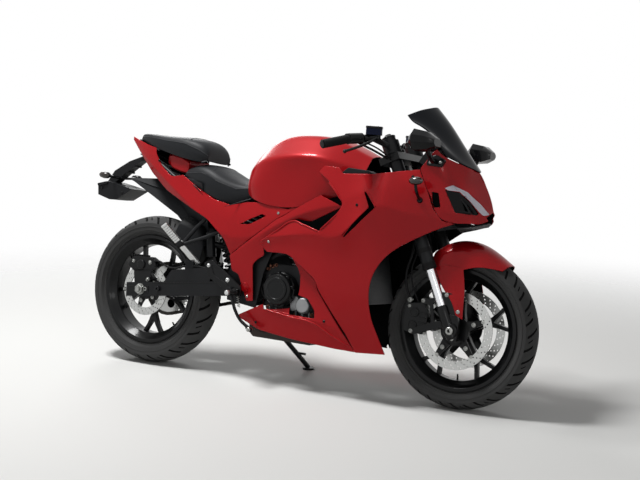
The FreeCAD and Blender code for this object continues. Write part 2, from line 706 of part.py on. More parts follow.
TANK = [
    # x, then (half width, z) from the middle out: top, deck edge, shoulder, side, foot
    (462, ((0, 812), (40, 808), (62, 792), (70, 768), (66, 748))),
    (480, ((0, 862), (54, 850), (84, 820), (94, 770), (88, 738))),
    (508, ((0, 896), (66, 884), (110, 842), (124, 775), (114, 726))),
    (560, ((0, 938), (76, 926), (128, 870), (148, 790), (136, 708))),
    (640, ((0, 976), (84, 964), (142, 892), (163, 820), (143, 695))),
    (750, ((0, 986), (88, 972), (150, 900), (170, 830), (148, 700))),
    (860, ((0, 974), (88, 960), (150, 888), (166, 825), (142, 735))),
    (960, ((0, 938), (74, 926), (126, 868), (140, 820), (124, 775))),
    (1010, ((0, 915), (66, 905), (110, 860), (120, 845), (112, 842))),
]
TUNNEL = [
    # x, half width, height of the underside over the frame
    (555, 121, 655), (640, 128, 690), (750, 134, 740), (860, 130, 778), (965, 121, 838), (1015, 121, 841),
]


def tank_block(grow):
    """The tank's outer shape, grown all round."""
    sections = []
    for x, half in TANK:
        points = [(x, h + grow if h else 0, z + grow) for h, z in half]
        points[-1] = (x, half[-1][0] + grow, half[-1][1] - grow)
        sections.append(symmetric(points))
    return loft(sections)


def fuel_tank():
    """Creased tank, open underneath where it sits down over the spars."""
    tunnel = loft([[V(x, -h, 560), V(x, h, 560), V(x, h, top), V(x, -h, top)] for x, h, top in TUNNEL])
    cap = across(0, 0, -4, 4, 34)
    cap.rotate(V(0, 0, 0), V(1, 0, 0), 90)
    cap.translate(V(800, 0, 980))
    return fused([tank_block(0).cut(tunnel), cap])


RIDER_SEAT = [
    # x, half width, crown height, edge height, underside
    (170, 88, 826, 806, 776),
    (262, 112, 848, 810, 742),
    (350, 118, 818, 776, 706),
    (430, 104, 788, 752, 692),
    (500, 84, 782, 760, 712),
    (552, 66, 786, 772, 738),
]
PILLION_SEAT = [
    (-105, 40, 964, 950, 930),
    (-40, 66, 966, 948, 914),
    (60, 88, 960, 936, 888),
    (160, 100, 956, 926, 866),
    (235, 98, 940, 900, 856),
    (266, 84, 905, 880, 858),
]


def cushion(table):
    sections = []
    for x, half, crown, edge, low in table:
        sections.append(symmetric([(x, 0, crown), (x, half * 0.6, crown - 3), (x, half, edge), (x, half - 6, low),
                                   (x, 0, low)]))
    return loft([s for s in sections])


def rider_seat():
    return cushion(RIDER_SEAT).cut(tank_block(SEAM))


def undertray():
    """Black tray between the seat rails that carries the seats and closes the tail from below."""
    rows = []
    for x, half, low in ((560, 84, 660), (500, 84, 706), (430, 90, 690), (350, 90, 704), (262, 88, 740), (170, 76, 774),
                         (60, 60, 800), (-60, 36, 850), (-120, 28, 880)):
        rows.append([(x, 0, low), (x, half - 12, low), (x, half, low)])
    return moulding(full_width(rows), PANEL_WALL, V(0, 0, 1)).cut(subframe())


# Bodywork: each skin is a table of half widths, and each panel is that skin within its side-view outline

FAIRING_COLUMNS = (590, 760, 880, 980, 1100, 1200, 1300, 1400)
FAIRING_SKIN = [
    # rows from the foot up: (z, half width) at each column
    ((470, 150), (370, 162), (230, 160), (190, 155), (150, 146), (150, 140), (380, 135), (480, 105)),
    ((520, 168), (460, 180), (400, 186), (350, 185), (330, 182), (330, 176), (480, 150), (560, 110)),
    ((545, 176), (540, 192), (520, 202), (500, 204), (520, 206), (520, 192), (600, 152), (640, 108)),
    ((566, 180), (592, 198), (602, 209), (612, 214), (712, 216), (705, 192), (696, 150), (688, 104)),
    ((610, 176), (640, 190), (710, 203), (742, 208), (790, 203), (780, 184), (762, 148), (740, 98)),
    ((680, 160), (760, 172), (882, 178), (882, 180), (880, 172), (888, 156), (900, 130), (860, 96)),
]
FAIRING_OUTLINE = [
    (785, 868), (925, 858), (945, 836), (1069, 841), (1246, 868), (1290, 776), (1308, 728), (1340, 688),
    (1384, 680), (1338, 661), (1273, 625), ((1166, 556), (1099, 452)), ((1099, 330), (1167, 180)),
    (1042, 172), (1003, 238), (882, 394), (868, 430), (738, 517), (635, 517), (604, 552), (755, 650), (880, 614),
    (962, 700), (968, 727), (880, 812),
]
FAIRING_SLOT = [(1052, 772), (1060, 772), (1111, 717), (990, 598), (980, 606), (1085, 716)]

BELLY_COLUMNS = (480, 600, 740, 880, 1010, 1090)
BELLY_SKIN = [
    ((200, 60), (165, 60), (150, 60), (130, 60), (120, 60), (110, 60)),
    ((246, 120), (206, 130), (188, 138), (176, 140), (170, 140), (166, 136)),
    ((264, 122), (300, 150), (284, 158), (268, 160), (240, 158), (240, 150)),
    ((300, 122), (330, 146), (330, 152), (330, 160), (330, 160), (330, 150)),
    ((560, 122), (560, 150), (560, 162), (560, 162), (560, 160), (560, 150)),
]
BELLY_OUTLINE = [
    (503, 258), (510, 244), (603, 208), (748, 190), (947, 175), (1040, 172), (1001, 238), (880, 392),
    (866, 428), (738, 513), ((790, 410), (746, 306)), (632, 290), (623, 311),
]
BELLY_WINDOW = [(774, 364), ((826, 352), (860, 310)), (862, 280), (748, 284), (746, 312)]

FRAME_COVER_COLUMNS = (440, 560, 700, 850, 960)
FRAME_COVER_SKIN = [
    ((290, 132), (300, 137), (420, 142), (560, 150), (620, 150)),
    ((430, 138), (460, 146), (560, 152), (640, 160), (680, 160)),
    ((480, 138), (560, 152), (640, 160), (700, 166), (720, 164)),
    ((560, 132), (620, 146), (700, 154), (780, 158), (790, 156)),
]
FRAME_COVER_OUTLINE = [
    (447, 488), (656, 642), (849, 751), (950, 712), (815, 646), (755, 653), (604, 557), (612, 502), (577, 480),
    (560, 462), (569, 318), (539, 315), (494, 417), (460, 430),
]

TAIL_COLUMNS = (-165, -60, 60, 200, 340, 470, 620, 860)
TAIL_SKIN = [
    ((900, 22), (800, 46), (700, 70), (600, 96), (520, 112), (440, 124), (560, 132), (700, 140)),
    ((930, 28), (860, 62), (780, 88), (690, 112), (600, 128), (560, 136), (600, 142), (720, 146)),
    ((945, 30), (900, 66), (830, 92), (735, 110), (670, 124), (640, 136), (650, 144), (740, 146)),
    ((975, 22), (960, 56), (900, 80), (800, 96), (730, 112), (720, 118), (760, 122), (800, 124)),
]
TAIL_OUTLINE = [
    (-162, 952), (-60, 918), (-5, 905), (0, 880), (42, 828), (100, 788), (160, 797), (244, 748), (337, 706),
    ((421, 688), (500, 704)), (556, 706), (700, 688), (836, 750), (652, 645), (443, 490), (410, 554), (321, 625),
    (72, 732), (-23, 801), (-93, 872), (-158, 936),
]
TAIL_SLOT = [(484, 615), (528, 638), (582, 661), (601, 655), (530, 618)]

NOSE_ROWS = [
    # from the ridge and screen edge down to the chin: (x, half width, z) from the tip back to the seam
    [(1486, 0, 733), (1477, 0, 767), (1453, 0, 821), (1421, 0, 875), (1404, 40, 885), (1381, 72, 896),
     (1331, 118, 919), (1306, 150, 946)],
    [(1483, 25, 723), (1456, 55, 759), (1436, 74, 782), (1415, 88, 799), (1396, 102, 808), (1367, 118, 818),
     (1336, 132, 828), (1250, 152, 872)],
    [(1478, 32, 716), (1455, 57, 727), (1440, 74, 750), (1427, 86, 764), (1408, 102, 780), (1393, 112, 794),
     (1345, 132, 796), (1278, 148, 800)],
    [(1474, 36, 712), (1452, 62, 714), (1436, 78, 715), (1420, 92, 716), (1402, 106, 717), (1384, 118, 718),
     (1340, 136, 726), (1294, 146, 774)],
    [(1480, 28, 699), (1461, 60, 687), (1444, 76, 685), (1425, 88, 684), (1406, 100, 683), (1390, 112, 682),
     (1342, 132, 692), (1312, 142, 728)],
]
LAMP_OPENING = [(1344, 800), (1393, 794), (1427, 762), (1452, 724), (1448, 717), (1384, 720)]

SCREEN_ROWS = [
    [(1231, 0, 1112), (1222, 45, 1104), (1200, 85, 1091), (1168, 125, 1068)],
    [(1290, 0, 1048), (1276, 48, 1042), (1248, 92, 1030), (1206, 136, 1040)],
    [(1352, 0, 968), (1338, 46, 966), (1310, 92, 966), (1268, 138, 1008)],
    [(1424, 0, 877), (1407, 40, 887), (1384, 73, 898), (1334, 120, 921)],
]


def half_width(columns, skin, x, z):
    """Half width of a skin at a side-view point, between the table's rows and columns."""
    j = max(k for k in range(len(columns) - 1) if columns[k] <= x or k == 0)
    share = (x - columns[j]) / (columns[j + 1] - columns[j])
    points = []
    for row in skin:
        (z0, h0), (z1, h1) = row[j], row[j + 1]
        points.append((z0 + (z1 - z0) * share, h0 + (h1 - h0) * share))
    for (z0, h0), (z1, h1) in zip(points, points[1:]):
        if z <= z1:
            break
    return h0 + (h1 - h0) * (z - z0) / (z1 - z0)


def post(columns, skin, x, z, inner, radius=7):
    """A moulded post inside a right panel, from the skin to a face at -inner."""
    return across(x, z, -half_width(columns, skin, x, z) + PANEL_WALL / 2, -inner, radius)


def panel(columns, skin, outline, holes=(), posts=()):
    """The right-hand skin within its outline, with its openings and its posts."""
    grid = [[V(x, -h, z) for x, (z, h) in zip(columns, row)] for row in skin]
    wall = moulding(grid, PANEL_WALL, V(0, -1, 0)).common(prism(outline, -400, 0))
    for hole in holes:
        wall = wall.cut(prism(hole, -400, 0))
    for x, z, inner in posts:
        wall = wall.fuse(post(columns, skin, x, z, inner))
    return wall


def fairing():
    return panel(FAIRING_COLUMNS, FAIRING_SKIN, FAIRING_OUTLINE, [FAIRING_SLOT],
                 [(653, 548, 112 + 50), (1025, 800, SPAR_OUT), (1000, 545, RADIATOR_HALF)])


def belly(crankcase):
    return panel(BELLY_COLUMNS, BELLY_SKIN, BELLY_OUTLINE, [BELLY_WINDOW],
                 [(640, 276, crankcase), (820, 270, crankcase)])


def frame_cover():
    return panel(FRAME_COVER_COLUMNS, FRAME_COVER_SKIN, FRAME_COVER_OUTLINE, [],
                 [(556, 340, SPAR_OUT + PLATE_THICK), (600, 590, SPAR_OUT + PLATE_THICK), (800, 690, SPAR_OUT)])


def tail():
    skin = panel(TAIL_COLUMNS, TAIL_SKIN, TAIL_OUTLINE, [TAIL_SLOT],
                 [(300, 690, 82), (40, 812, 58), (596, 613, SPAR_OUT + PLATE_THICK)])
    return skin.cut(subframe()).cut(tank_block(SEAM))


def nose_fairing():
    """Cowl round the lamps, in two mirrored halves that meet on the ridge."""
    half = moulding(right_side(NOSE_ROWS), PANEL_WALL, V(1, -0.8, 0.3))
    half = half.cut(prism(LAMP_OPENING, -300, -20))
    return half.fuse(mirrored(half))


def windscreen():
    return moulding(full_width(SCREEN_ROWS), SCREEN_WALL, V(1, 0, 0.6)).cut(nose_fairing())


FRONT_STAY = (1190, 815)


def front_stay():
    """Bracket from the steering head that carries the nose, lamps, mirrors and dials."""
    beam = prism([(1128, 790), (1290, 790), (1290, 815), (1122, 815)], -18, 18)
    arm = tube([V(1290, -10, 800), V(1300, -60, 830), V(1296, -138, 895)], 8)
    dial_post = tube([V(1250, 0, 806), V(1236, 0, 870), V(1222, 0, 918)], 8)
    stay = fused([beam, arm, mirrored(arm), dial_post])
    return largest(stay.cut(rod(steer_point(494), steer_point(660), 28)).cut(nose_fairing()))


def instrument():
    dial = prism([(1200, 902), (1220, 890), (1272, 966), (1252, 978)], -58, 58)
    return dial.cut(front_stay())


def headlights():
    """A lamp body behind each opening in the nose, on the stay."""
    body = prism([(1310, 762), (1345, 792), (1385, 786), (1420, 752), (1440, 722), (1384, 726), (1330, 732)], -104, -30)
    arm = prism([(1280, 780), (1320, 760), (1330, 780), (1290, 800)], -34, -14)
    half = fused([body, arm]).cut(nose_fairing())
    return both(half.cut(front_stay()))


MIRROR = [
    # x, then the pod's side-view half height and its span across
    (1268, 22, (240, 318), 962), (1284, 38, (222, 338), 964), (1330, 32, (226, 330), 962), (1362, 14, (244, 306), 958),
]


def mirror():
    """A faceted pod on a stalk from the nose's ear."""
    sections = []
    for x, up, (near, far), z in MIRROR:
        cut = (far - near) * 0.22
        sections.append([V(x, -near, z - up), V(x, -far + cut, z - up), V(x, -far, z - up * 0.3), V(x, -far, z + up * 0.4),
                         V(x, -far + cut, z + up), V(x, -near - cut, z + up), V(x, -near, z + up * 0.4)])
    pod = loft(sections)
    stalk = tube([V(1300, -130, 906), V(1306, -185, 896), V(1310, -250, 940)], 9)
    return largest(fused([pod, stalk]).cut(nose_fairing()).cut(front_stay()))


def turn_signals():
    """Four lamps on short stalks, two on the side fairings and two on the plate holder."""
    h = half_width(FAIRING_COLUMNS, FAIRING_SKIN, 1262, 756)
    front = tube([V(1262, -h - 2, 756), V(1270, -218, 786), V(1272, -236, 812)], 6)
    lens = rod(V(1248, -240, 822), V(1300, -240, 822), 15)
    stalk = tube([V(-228, -22, 770), V(-230, -60, 772), V(-230, -96, 774)], 6)
    rear = rod(V(-262, -108, 776), V(-206, -108, 776), 15)
    front_lamp = fused([front, lens]).cut(fairing())
    return both(Part.makeCompound([front_lamp, fused([stalk, rear]).cut(plate_holder())]))


def tail_light():
    lens = prism([(-158, 930), (-112, 884), (-86, 894), (-116, 926), (-150, 940)], -26, 26)
    body = prism([(-112, 886), (-84, 878), (-66, 900), (-96, 926), (-120, 928)], -42, 42)
    return fused([lens, body]).cut([subframe(), undertray(), plate_holder(), tail(), mirrored(tail())])


def plate_holder():
    """Arm from the tail down to a blank plate carrier."""
    arm = prism([(-60, 862), (-116, 850), (-200, 790), (-262, 740), (-310, 700), (-300, 740), (-258, 800), (-180, 845),
                 (-70, 884)], -22, 22)
    root = prism([(-88, 858), (-60, 862), (-62, 882), (-84, 880)], -34, 34)
    plate = prism([(-262, 752), (-313, 740), (-308, 692), (-245, 674), (-207, 676), (-125, 724)], -60, 60)
    return fused([arm, plate, root]).cut(subframe()).cut(undertray())


CHIN_ROWS = [
    [(1314, 0, 672), (1314, 60, 672), (1314, 100, 664), (1318, 118, 650)],
    [(1390, 0, 674), (1390, 60, 674), (1388, 88, 670), (1384, 98, 666)],
    [(1474, 0, 692), (1472, 24, 690), (1450, 58, 680), (1438, 66, 676)],
]


def chin_panel():
    """Black panel under the nose, hung from the stay."""
    pan = moulding(full_width(CHIN_ROWS), PANEL_WALL, V(0, 0, 1))
    strut = prism([(1316, 670), (1338, 670), (1292, 792), (1270, 792)], -12, 12)
    return fused([pan, strut]).cut(front_stay())


# Controls for the feet, pegs and the stand

HANGER_OUTLINE = [(338, 451), (376, 463), (421, 435), (520, 368), (520, 327), (459, 342), (358, 397)]


def footrest():
    """Hanger plate outboard of the arm, bolted through to the frame's plate, with its peg."""
    plate = prism(HANGER_OUTLINE, -156, -148)
    stays = [across(x, z, -148, -SPAR_OUT - PLATE_THICK, 10) for x, z in ((500, 345), (455, 390))]
    peg = across(500, 345, -226, -156, 11)
    return fused([plate, peg] + stays)


def foot_lever():
    hub = across(474, 352, -170, -156, 12)
    arm = tube([V(474, -164, 352), V(531, -166, 243), V(585, -166, 208)], 7)
    return fused([hub, arm])


def passenger_peg():
    """Peg on a two-armed bracket from the seat rails."""
    tip = V(212, -142, 512)
    upper = tube([V(318, -94, 650), V(262, -112, 590), tip], 8)
    lower = tube([V(392, -96, 590), V(300, -112, 548), tip], 8)
    peg = rod(V(212, -136, 508), V(150, -205, 596), 12)
    return fused([upper, lower, peg]).cut(subframe())


def ground_height(y):
    return y * SIN_LEAN / COS_LEAN - REAR_LIFT / COS_LEAN


def stand_foot():
    return V(STAND_FOOT[0], STAND_FOOT[1], ground_height(STAND_FOOT[1]))


def stand_axis():
    down = (stand_foot() - STAND_PIVOT).normalize()
    return down.cross(V(STAND_FOLDED).normalize()).normalize()


def side_stand():
    """Leg with a foot pad that lies flat on the ground, and the eye it folds on."""
    foot = stand_foot()
    up = V(0, -SIN_LEAN, COS_LEAN)
    leg = rod(STAND_PIVOT, foot + up * 8, STAND_R)
    pad = Part.makeCylinder(24, 8, foot, up)
    axis = stand_axis()
    eye = rod(STAND_PIVOT - axis * (STAND_EYE_W / 2), STAND_PIVOT + axis * (STAND_EYE_W / 2), STAND_EYE_R)
    tang = rod(foot + up * 8 + (STAND_PIVOT - foot) * 0.34, foot + (STAND_PIVOT - foot) * 0.34 + V(30, 22, 4), 5)
    return fused([leg, pad, eye, tang])


def stand_bracket():
    """Two cheeks either side of the stand's eye, on a web up to the frame's left plate."""
    axis = stand_axis()
    near = STAND_EYE_W / 2 + RUNNING_GAP
    far = near + STAND_CHEEK
    cheeks = [rod(STAND_PIVOT + axis * s * near, STAND_PIVOT + axis * s * far, STAND_EYE_R) for s in (-1, 1)]
    web = prism([(500, 312), (560, 312), (556, 214), (514, 214)], 88, SPAR_OUT)
    lip = prism([(505, 290), (556, 290), (553, 240), (512, 240)], 74, 90)
    inner_web = prism([(520, 250), (550, 250), (548, 196), (522, 196)], 74, 86)
    clear = rod(STAND_PIVOT - axis * near, STAND_PIVOT + axis * near, STAND_EYE_R + 2)
    return fused(cheeks + [web.cut(clear), lip, inner_web.cut(clear)]).cut(main_frame()).cut(engine())


nodes = {
    "front_rim": rim(FRONT_AXLE, FRONT_RIM_HALF, FRONT_DISC_Y - DISC_THICK / 2, FRONT_DISC_Y - DISC_THICK / 2, 54),
    "front_tyre": tyre(FRONT_AXLE, FRONT_R, FRONT_TYRE_W, FRONT_CROWN_DROP, FRONT_RIM_HALF),
    "front_discs": both(disc(FRONT_AXLE, -FRONT_DISC_Y, FRONT_DISC_R, 50)),
    "rear_rim": rim(REAR_AXLE, REAR_RIM_HALF, REAR_DISC_Y - DISC_THICK / 2, CHAIN_Y - SPROCKET_THICK / 2, 18),
    "rear_tyre": tyre(REAR_AXLE, REAR_R, REAR_TYRE_W, REAR_CROWN_DROP, REAR_RIM_HALF),
    "rear_disc": disc(REAR_AXLE, -REAR_DISC_Y, REAR_DISC_R, 44),
    "rear_sprocket": rear_sprocket(),
    "drive_chain": drive_chain(),
    "fork_tubes": fork_tubes(),
    "fork_sliders": fork_sliders(),
    "front_axle": front_axle(),
    "triple_clamps": triple_clamps(),
    "front_calipers": front_calipers(),
    "front_mudguard": front_mudguard(),
    "handlebars": Part.makeCompound([handlebar(-1), handlebar(1)]),
    "grips": Part.makeCompound([grip(-1), grip(1)]),
    "hand_controls": Part.makeCompound([hand_control(-1), hand_control(1)]),
    "swingarm": swingarm(),
    "stand_bobbins": stand_bobbins(),
    "main_frame": main_frame(),
    "subframe": subframe(),
    "engine": engine(),
    "engine_covers": engine_covers(),
    "exhaust": exhaust(),
    "radiator": radiator(),
    "rear_shock": rear_shock(),
    "rear_hugger": rear_hugger(),
    "rear_caliper": rear_caliper(),
    "fuel_tank": fuel_tank(),
    "rider_seat": rider_seat(),
    "pillion_seat": cushion(PILLION_SEAT),
    "undertray": undertray(),
    "nose_fairing": nose_fairing(),
    "windscreen": windscreen(),
    "front_stay": front_stay(),
    "headlights": headlights(),
    "instrument": instrument(),
    "mirrors": both(mirror()),
    "turn_signals": turn_signals(),
    "tail_light": tail_light(),
    "plate_holder": plate_holder(),
    "chin_panel": chin_panel(),
    "footrests": both(footrest()),
    "foot_levers": both(foot_lever()),
    "passenger_pegs": both(passenger_peg()),
    "side_stand": side_stand(),
    "stand_bracket": stand_bracket(),
}
for name, shape in {"fairing": fairing(), "frame_cover": frame_cover(), "tail": tail()}.items():
    nodes[name + "_right"] = shape
    nodes[name + "_left"] = mirrored(shape)
nodes["belly_right"] = belly(ENGINE_HALF)
nodes["belly_left"] = mirrored(belly(ENGINE_LEFT))

# Lean the machine onto its stand and take the origin to the middle of its footprint
for shape in nodes.values():
    shape.Placement = stance.multiply(shape.Placement)
whole = Part.makeCompound(list(nodes.values())).optimalBoundingBox(False, False)
home = V((whole.XMin + whole.XMax) / 2, (whole.YMin + whole.YMax) / 2, 0)


def placed(point):
    """Where a point of the upright machine lies in the finished part."""
    return stance.multVec(point) - home


os.makedirs("parts", exist_ok=True)
for name, shape in nodes.items():
    moved = shape.copy()
    moved.translate(home * -1)
    moved.exportStep("parts/" + name + ".step")
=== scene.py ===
import json
import math

import bmesh
import bpy
from bpy.props import FloatProperty, FloatVectorProperty, IntProperty, PointerProperty
from bpy.types import Operator, Panel, PropertyGroup
from mathutils import Matrix, Vector
from mathutils.bvhtree import BVHTree


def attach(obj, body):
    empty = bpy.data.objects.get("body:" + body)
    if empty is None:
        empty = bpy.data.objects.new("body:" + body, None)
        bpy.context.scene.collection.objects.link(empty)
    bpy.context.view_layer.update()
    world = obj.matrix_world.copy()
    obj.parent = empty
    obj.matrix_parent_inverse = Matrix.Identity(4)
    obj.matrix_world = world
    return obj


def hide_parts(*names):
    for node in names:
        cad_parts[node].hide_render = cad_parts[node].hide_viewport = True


bl_info = {
    "name": "Sport bike",
    "version": (1, 0, 0),
    "blender": (4, 5, 0),
    "location": "View3D > Sidebar > Bike",
    "description": "Dresses the packed frame of a faired sport motorcycle",
    "category": "Add Mesh",
}

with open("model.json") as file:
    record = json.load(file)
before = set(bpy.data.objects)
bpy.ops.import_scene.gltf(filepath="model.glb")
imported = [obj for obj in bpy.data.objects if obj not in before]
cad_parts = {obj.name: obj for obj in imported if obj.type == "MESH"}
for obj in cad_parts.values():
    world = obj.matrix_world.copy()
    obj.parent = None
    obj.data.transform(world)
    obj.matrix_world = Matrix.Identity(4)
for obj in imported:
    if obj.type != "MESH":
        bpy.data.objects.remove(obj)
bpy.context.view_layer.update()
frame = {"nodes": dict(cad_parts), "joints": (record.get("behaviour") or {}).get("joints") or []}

# The upright machine, in millimetres: x forward from the rear wheel, y to its left, z up
MM = 0.001
WHEELBASE = 1399
REAR_R, FRONT_R = 310, 293
RAKE = math.radians(24)
STEER_UP = Vector((-math.sin(RAKE), 0, math.cos(RAKE)))
STEER_FORWARD = Vector((math.cos(RAKE), 0, math.sin(RAKE)))
REAR_AXLE = Vector((0, 0, REAR_R))
FRONT_AXLE = Vector((WHEELBASE, 0, FRONT_R))
AXLE_AHEAD, LEGS_AHEAD = 6, 28      # of the fork legs' line, and of the steering axis
LEG_BASE = FRONT_AXLE - STEER_FORWARD * AXLE_AHEAD
STEER_BASE = LEG_BASE - STEER_FORWARD * LEGS_AHEAD
FORK_SPREAD = 100           # from the middle to each leg
FRONT_DISC_Y, REAR_DISC_Y, CHAIN_Y = 66, 80, 84
ARM_Y = 117                 # outer faces of the swingarm's ends
WALL = 3.5                  # of the moulded panels
CORE = 0.01                 # how near to its axis a turned profile goes
KEPT_EDGE = 1.0             # rounding of the CAD pieces that are shown as they are
SKIN_ANGLE = 50             # a moulded skin is rounded where its faces meet at more than this, in degrees
OUT = (0, -1, 0)            # outwards on the right-hand side
UP = (0, 0, 1)
WELD = 0.01                 # points nearer to each other than this are one
ARC_STEP, ARC_STEPS = 2.5, 10       # length of the steps that round a corner, and how many at most
FIT_ROUNDS = 4              # times that a sheet's points are moved until it passes through their targets
HOSE_STEPS = 8              # steps of a hose from one of its points to the next
BESIDE, ABOVE = -600, 1200  # clear of the machine, to its right and over it
RIGHT_HALF = (-420, -1)     # from side to side, where a side panel is cut
ENGINE_COVER = (687, 375)   # x and z of the round covers' middle


def srgb(code):
    """The linear colour that a shader takes, from an sRGB hex code."""
    channels = [int(code[k:k + 2], 16) / 255 for k in (0, 2, 4)]
    return tuple(c / 12.92 if c <= 0.04045 else ((c + 0.055) / 1.055) ** 2.4 for c in channels)


# Sizes and colours that a user would change

class BikeFinish(PropertyGroup):
    paint: FloatVectorProperty(name="Paint", description="Candy red of the bodywork", subtype="COLOR", size=3,
                               min=0, max=1, default=srgb("a90b14"))
    trim: FloatVectorProperty(name="Trim", description="Black of the moulded trim", subtype="COLOR", size=3,
                              min=0, max=1, default=srgb("141517"))
    seat: FloatVectorProperty(name="Seat cover", description="Synthetic leather of both seats", subtype="COLOR",
                              size=3, min=0, max=1, default=srgb("17191c"))


class BikeSizes(PropertyGroup):
    edge: FloatProperty(name="Panel edge", description="Rounding of the moulded panels' edges",
                        default=1.2 * MM, min=0.2 * MM, max=3 * MM, unit="LENGTH")
    tread: FloatProperty(name="Tread depth", description="Depth of the grooves in both tyres",
                         default=4 * MM, min=1 * MM, max=6 * MM, unit="LENGTH")
    levels: IntProperty(name="Smoothness", description="Subdivision of the moulded skins", default=4, min=1, max=5)


# Placing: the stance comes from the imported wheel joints

def find_stance():
    """Two matrices: the upright machine's ground in metres, and the same for millimetres."""
    joints = {j["name"]: j for j in frame["joints"]}
    rear = Vector(joints["rear_wheel_spin"]["pos_m"])
    front = Vector(joints["front_wheel_spin"]["pos_m"])
    side = Vector(joints["rear_wheel_spin"]["axis"]).normalized()
    slope = math.atan2(FRONT_AXLE.z - REAR_AXLE.z, WHEELBASE)
    along = (front - rear).normalized()
    upward = along.cross(side)
    ahead = along * math.cos(slope) - upward * math.sin(slope)
    up = along * math.sin(slope) + upward * math.cos(slope)
    turn = Matrix((ahead, side, up)).transposed()
    place = Matrix.Translation(rear - turn @ (REAR_AXLE * MM)) @ turn.to_4x4()
    return place, place @ Matrix.Scale(MM, 4)


GROUND, STANCE = find_stance()


def fork_point(height, y):
    """A point on a fork leg's line, at a height above the front axle."""
    return LEG_BASE + STEER_UP * height + Vector((0, y, 0))


# Materials

MIX_FACTOR, MIX_A, MIX_B, MIX_RESULT = 0, 6, 7, 2       # a colour mix node's sockets
PATCHES = 12.0                                          # uneven gloss, in patches a metre


def add_node(tree, kind, settings=None, links=None):
    """Adds a node with its settings, which are properties or input values, and links inputs from (node, output)."""
    made = tree.nodes.new(kind)
    for key, value in (settings or {}).items():
        if key in made.inputs:
            made.inputs[key].default_value = value
        else:
            setattr(made, key, value)
    for key, (source, output) in (links or {}).items():
        tree.links.new(source.outputs[output], made.inputs[key])
    return made


def make_material(name, colour, metallic=0.0, roughness=0.5, spread=0.1, size=2.0, bump=0.0, pattern="noise",
                  tint=0.12, **sockets):
    """A finish with a pattern of a real size in millimetres, which varies its colour, gloss and relief."""
    made = bpy.data.materials.new(name)
    made.use_nodes = True
    tree = made.node_tree
    shader = tree.nodes["Principled BSDF"]
    rgb = srgb(colour) if isinstance(colour, str) else tuple(colour)
    place = add_node(tree, "ShaderNodeTexCoord")
    vector = {"Vector": (place, "Object")}
    scale = 1 / (size * MM)
    if pattern == "cells":
        texture, height = add_node(tree, "ShaderNodeTexVoronoi", {"Scale": scale}, vector), "Distance"
    else:
        texture, height = add_node(tree, "ShaderNodeTexNoise", {"Scale": scale, "Detail": 3.0}, vector), "Fac"
    broad = add_node(tree, "ShaderNodeTexNoise", {"Scale": PATCHES, "Detail": 2.0}, vector)
    gloss = add_node(tree, "ShaderNodeMapRange", {"To Min": max(0.01, roughness - spread / 2),
                                                  "To Max": min(1.0, roughness + spread / 2)},
                     {"Value": (broad, "Fac")})
    tree.links.new(gloss.outputs["Result"], shader.inputs["Roughness"])
    darker = tuple(c * (1 - tint) for c in rgb) + (1.0,)
    mix = add_node(tree, "ShaderNodeMix", {"data_type": "RGBA"})
    mix.inputs[MIX_A].default_value = rgb + (1.0,)
    mix.inputs[MIX_B].default_value = darker
    tree.links.new(texture.outputs[height], mix.inputs[MIX_FACTOR])
    tree.links.new(mix.outputs[MIX_RESULT], shader.inputs["Base Color"])
    if bump:
        relief = add_node(tree, "ShaderNodeBump", {"Strength": 1.0, "Distance": bump * MM},
                          {"Height": (texture, height)})
        tree.links.new(relief.outputs["Normal"], shader.inputs["Normal"])
    shader.inputs["Metallic"].default_value = metallic
    for key, value in sockets.items():
        shader.inputs[key.replace("_", " ")].default_value = value
    return made


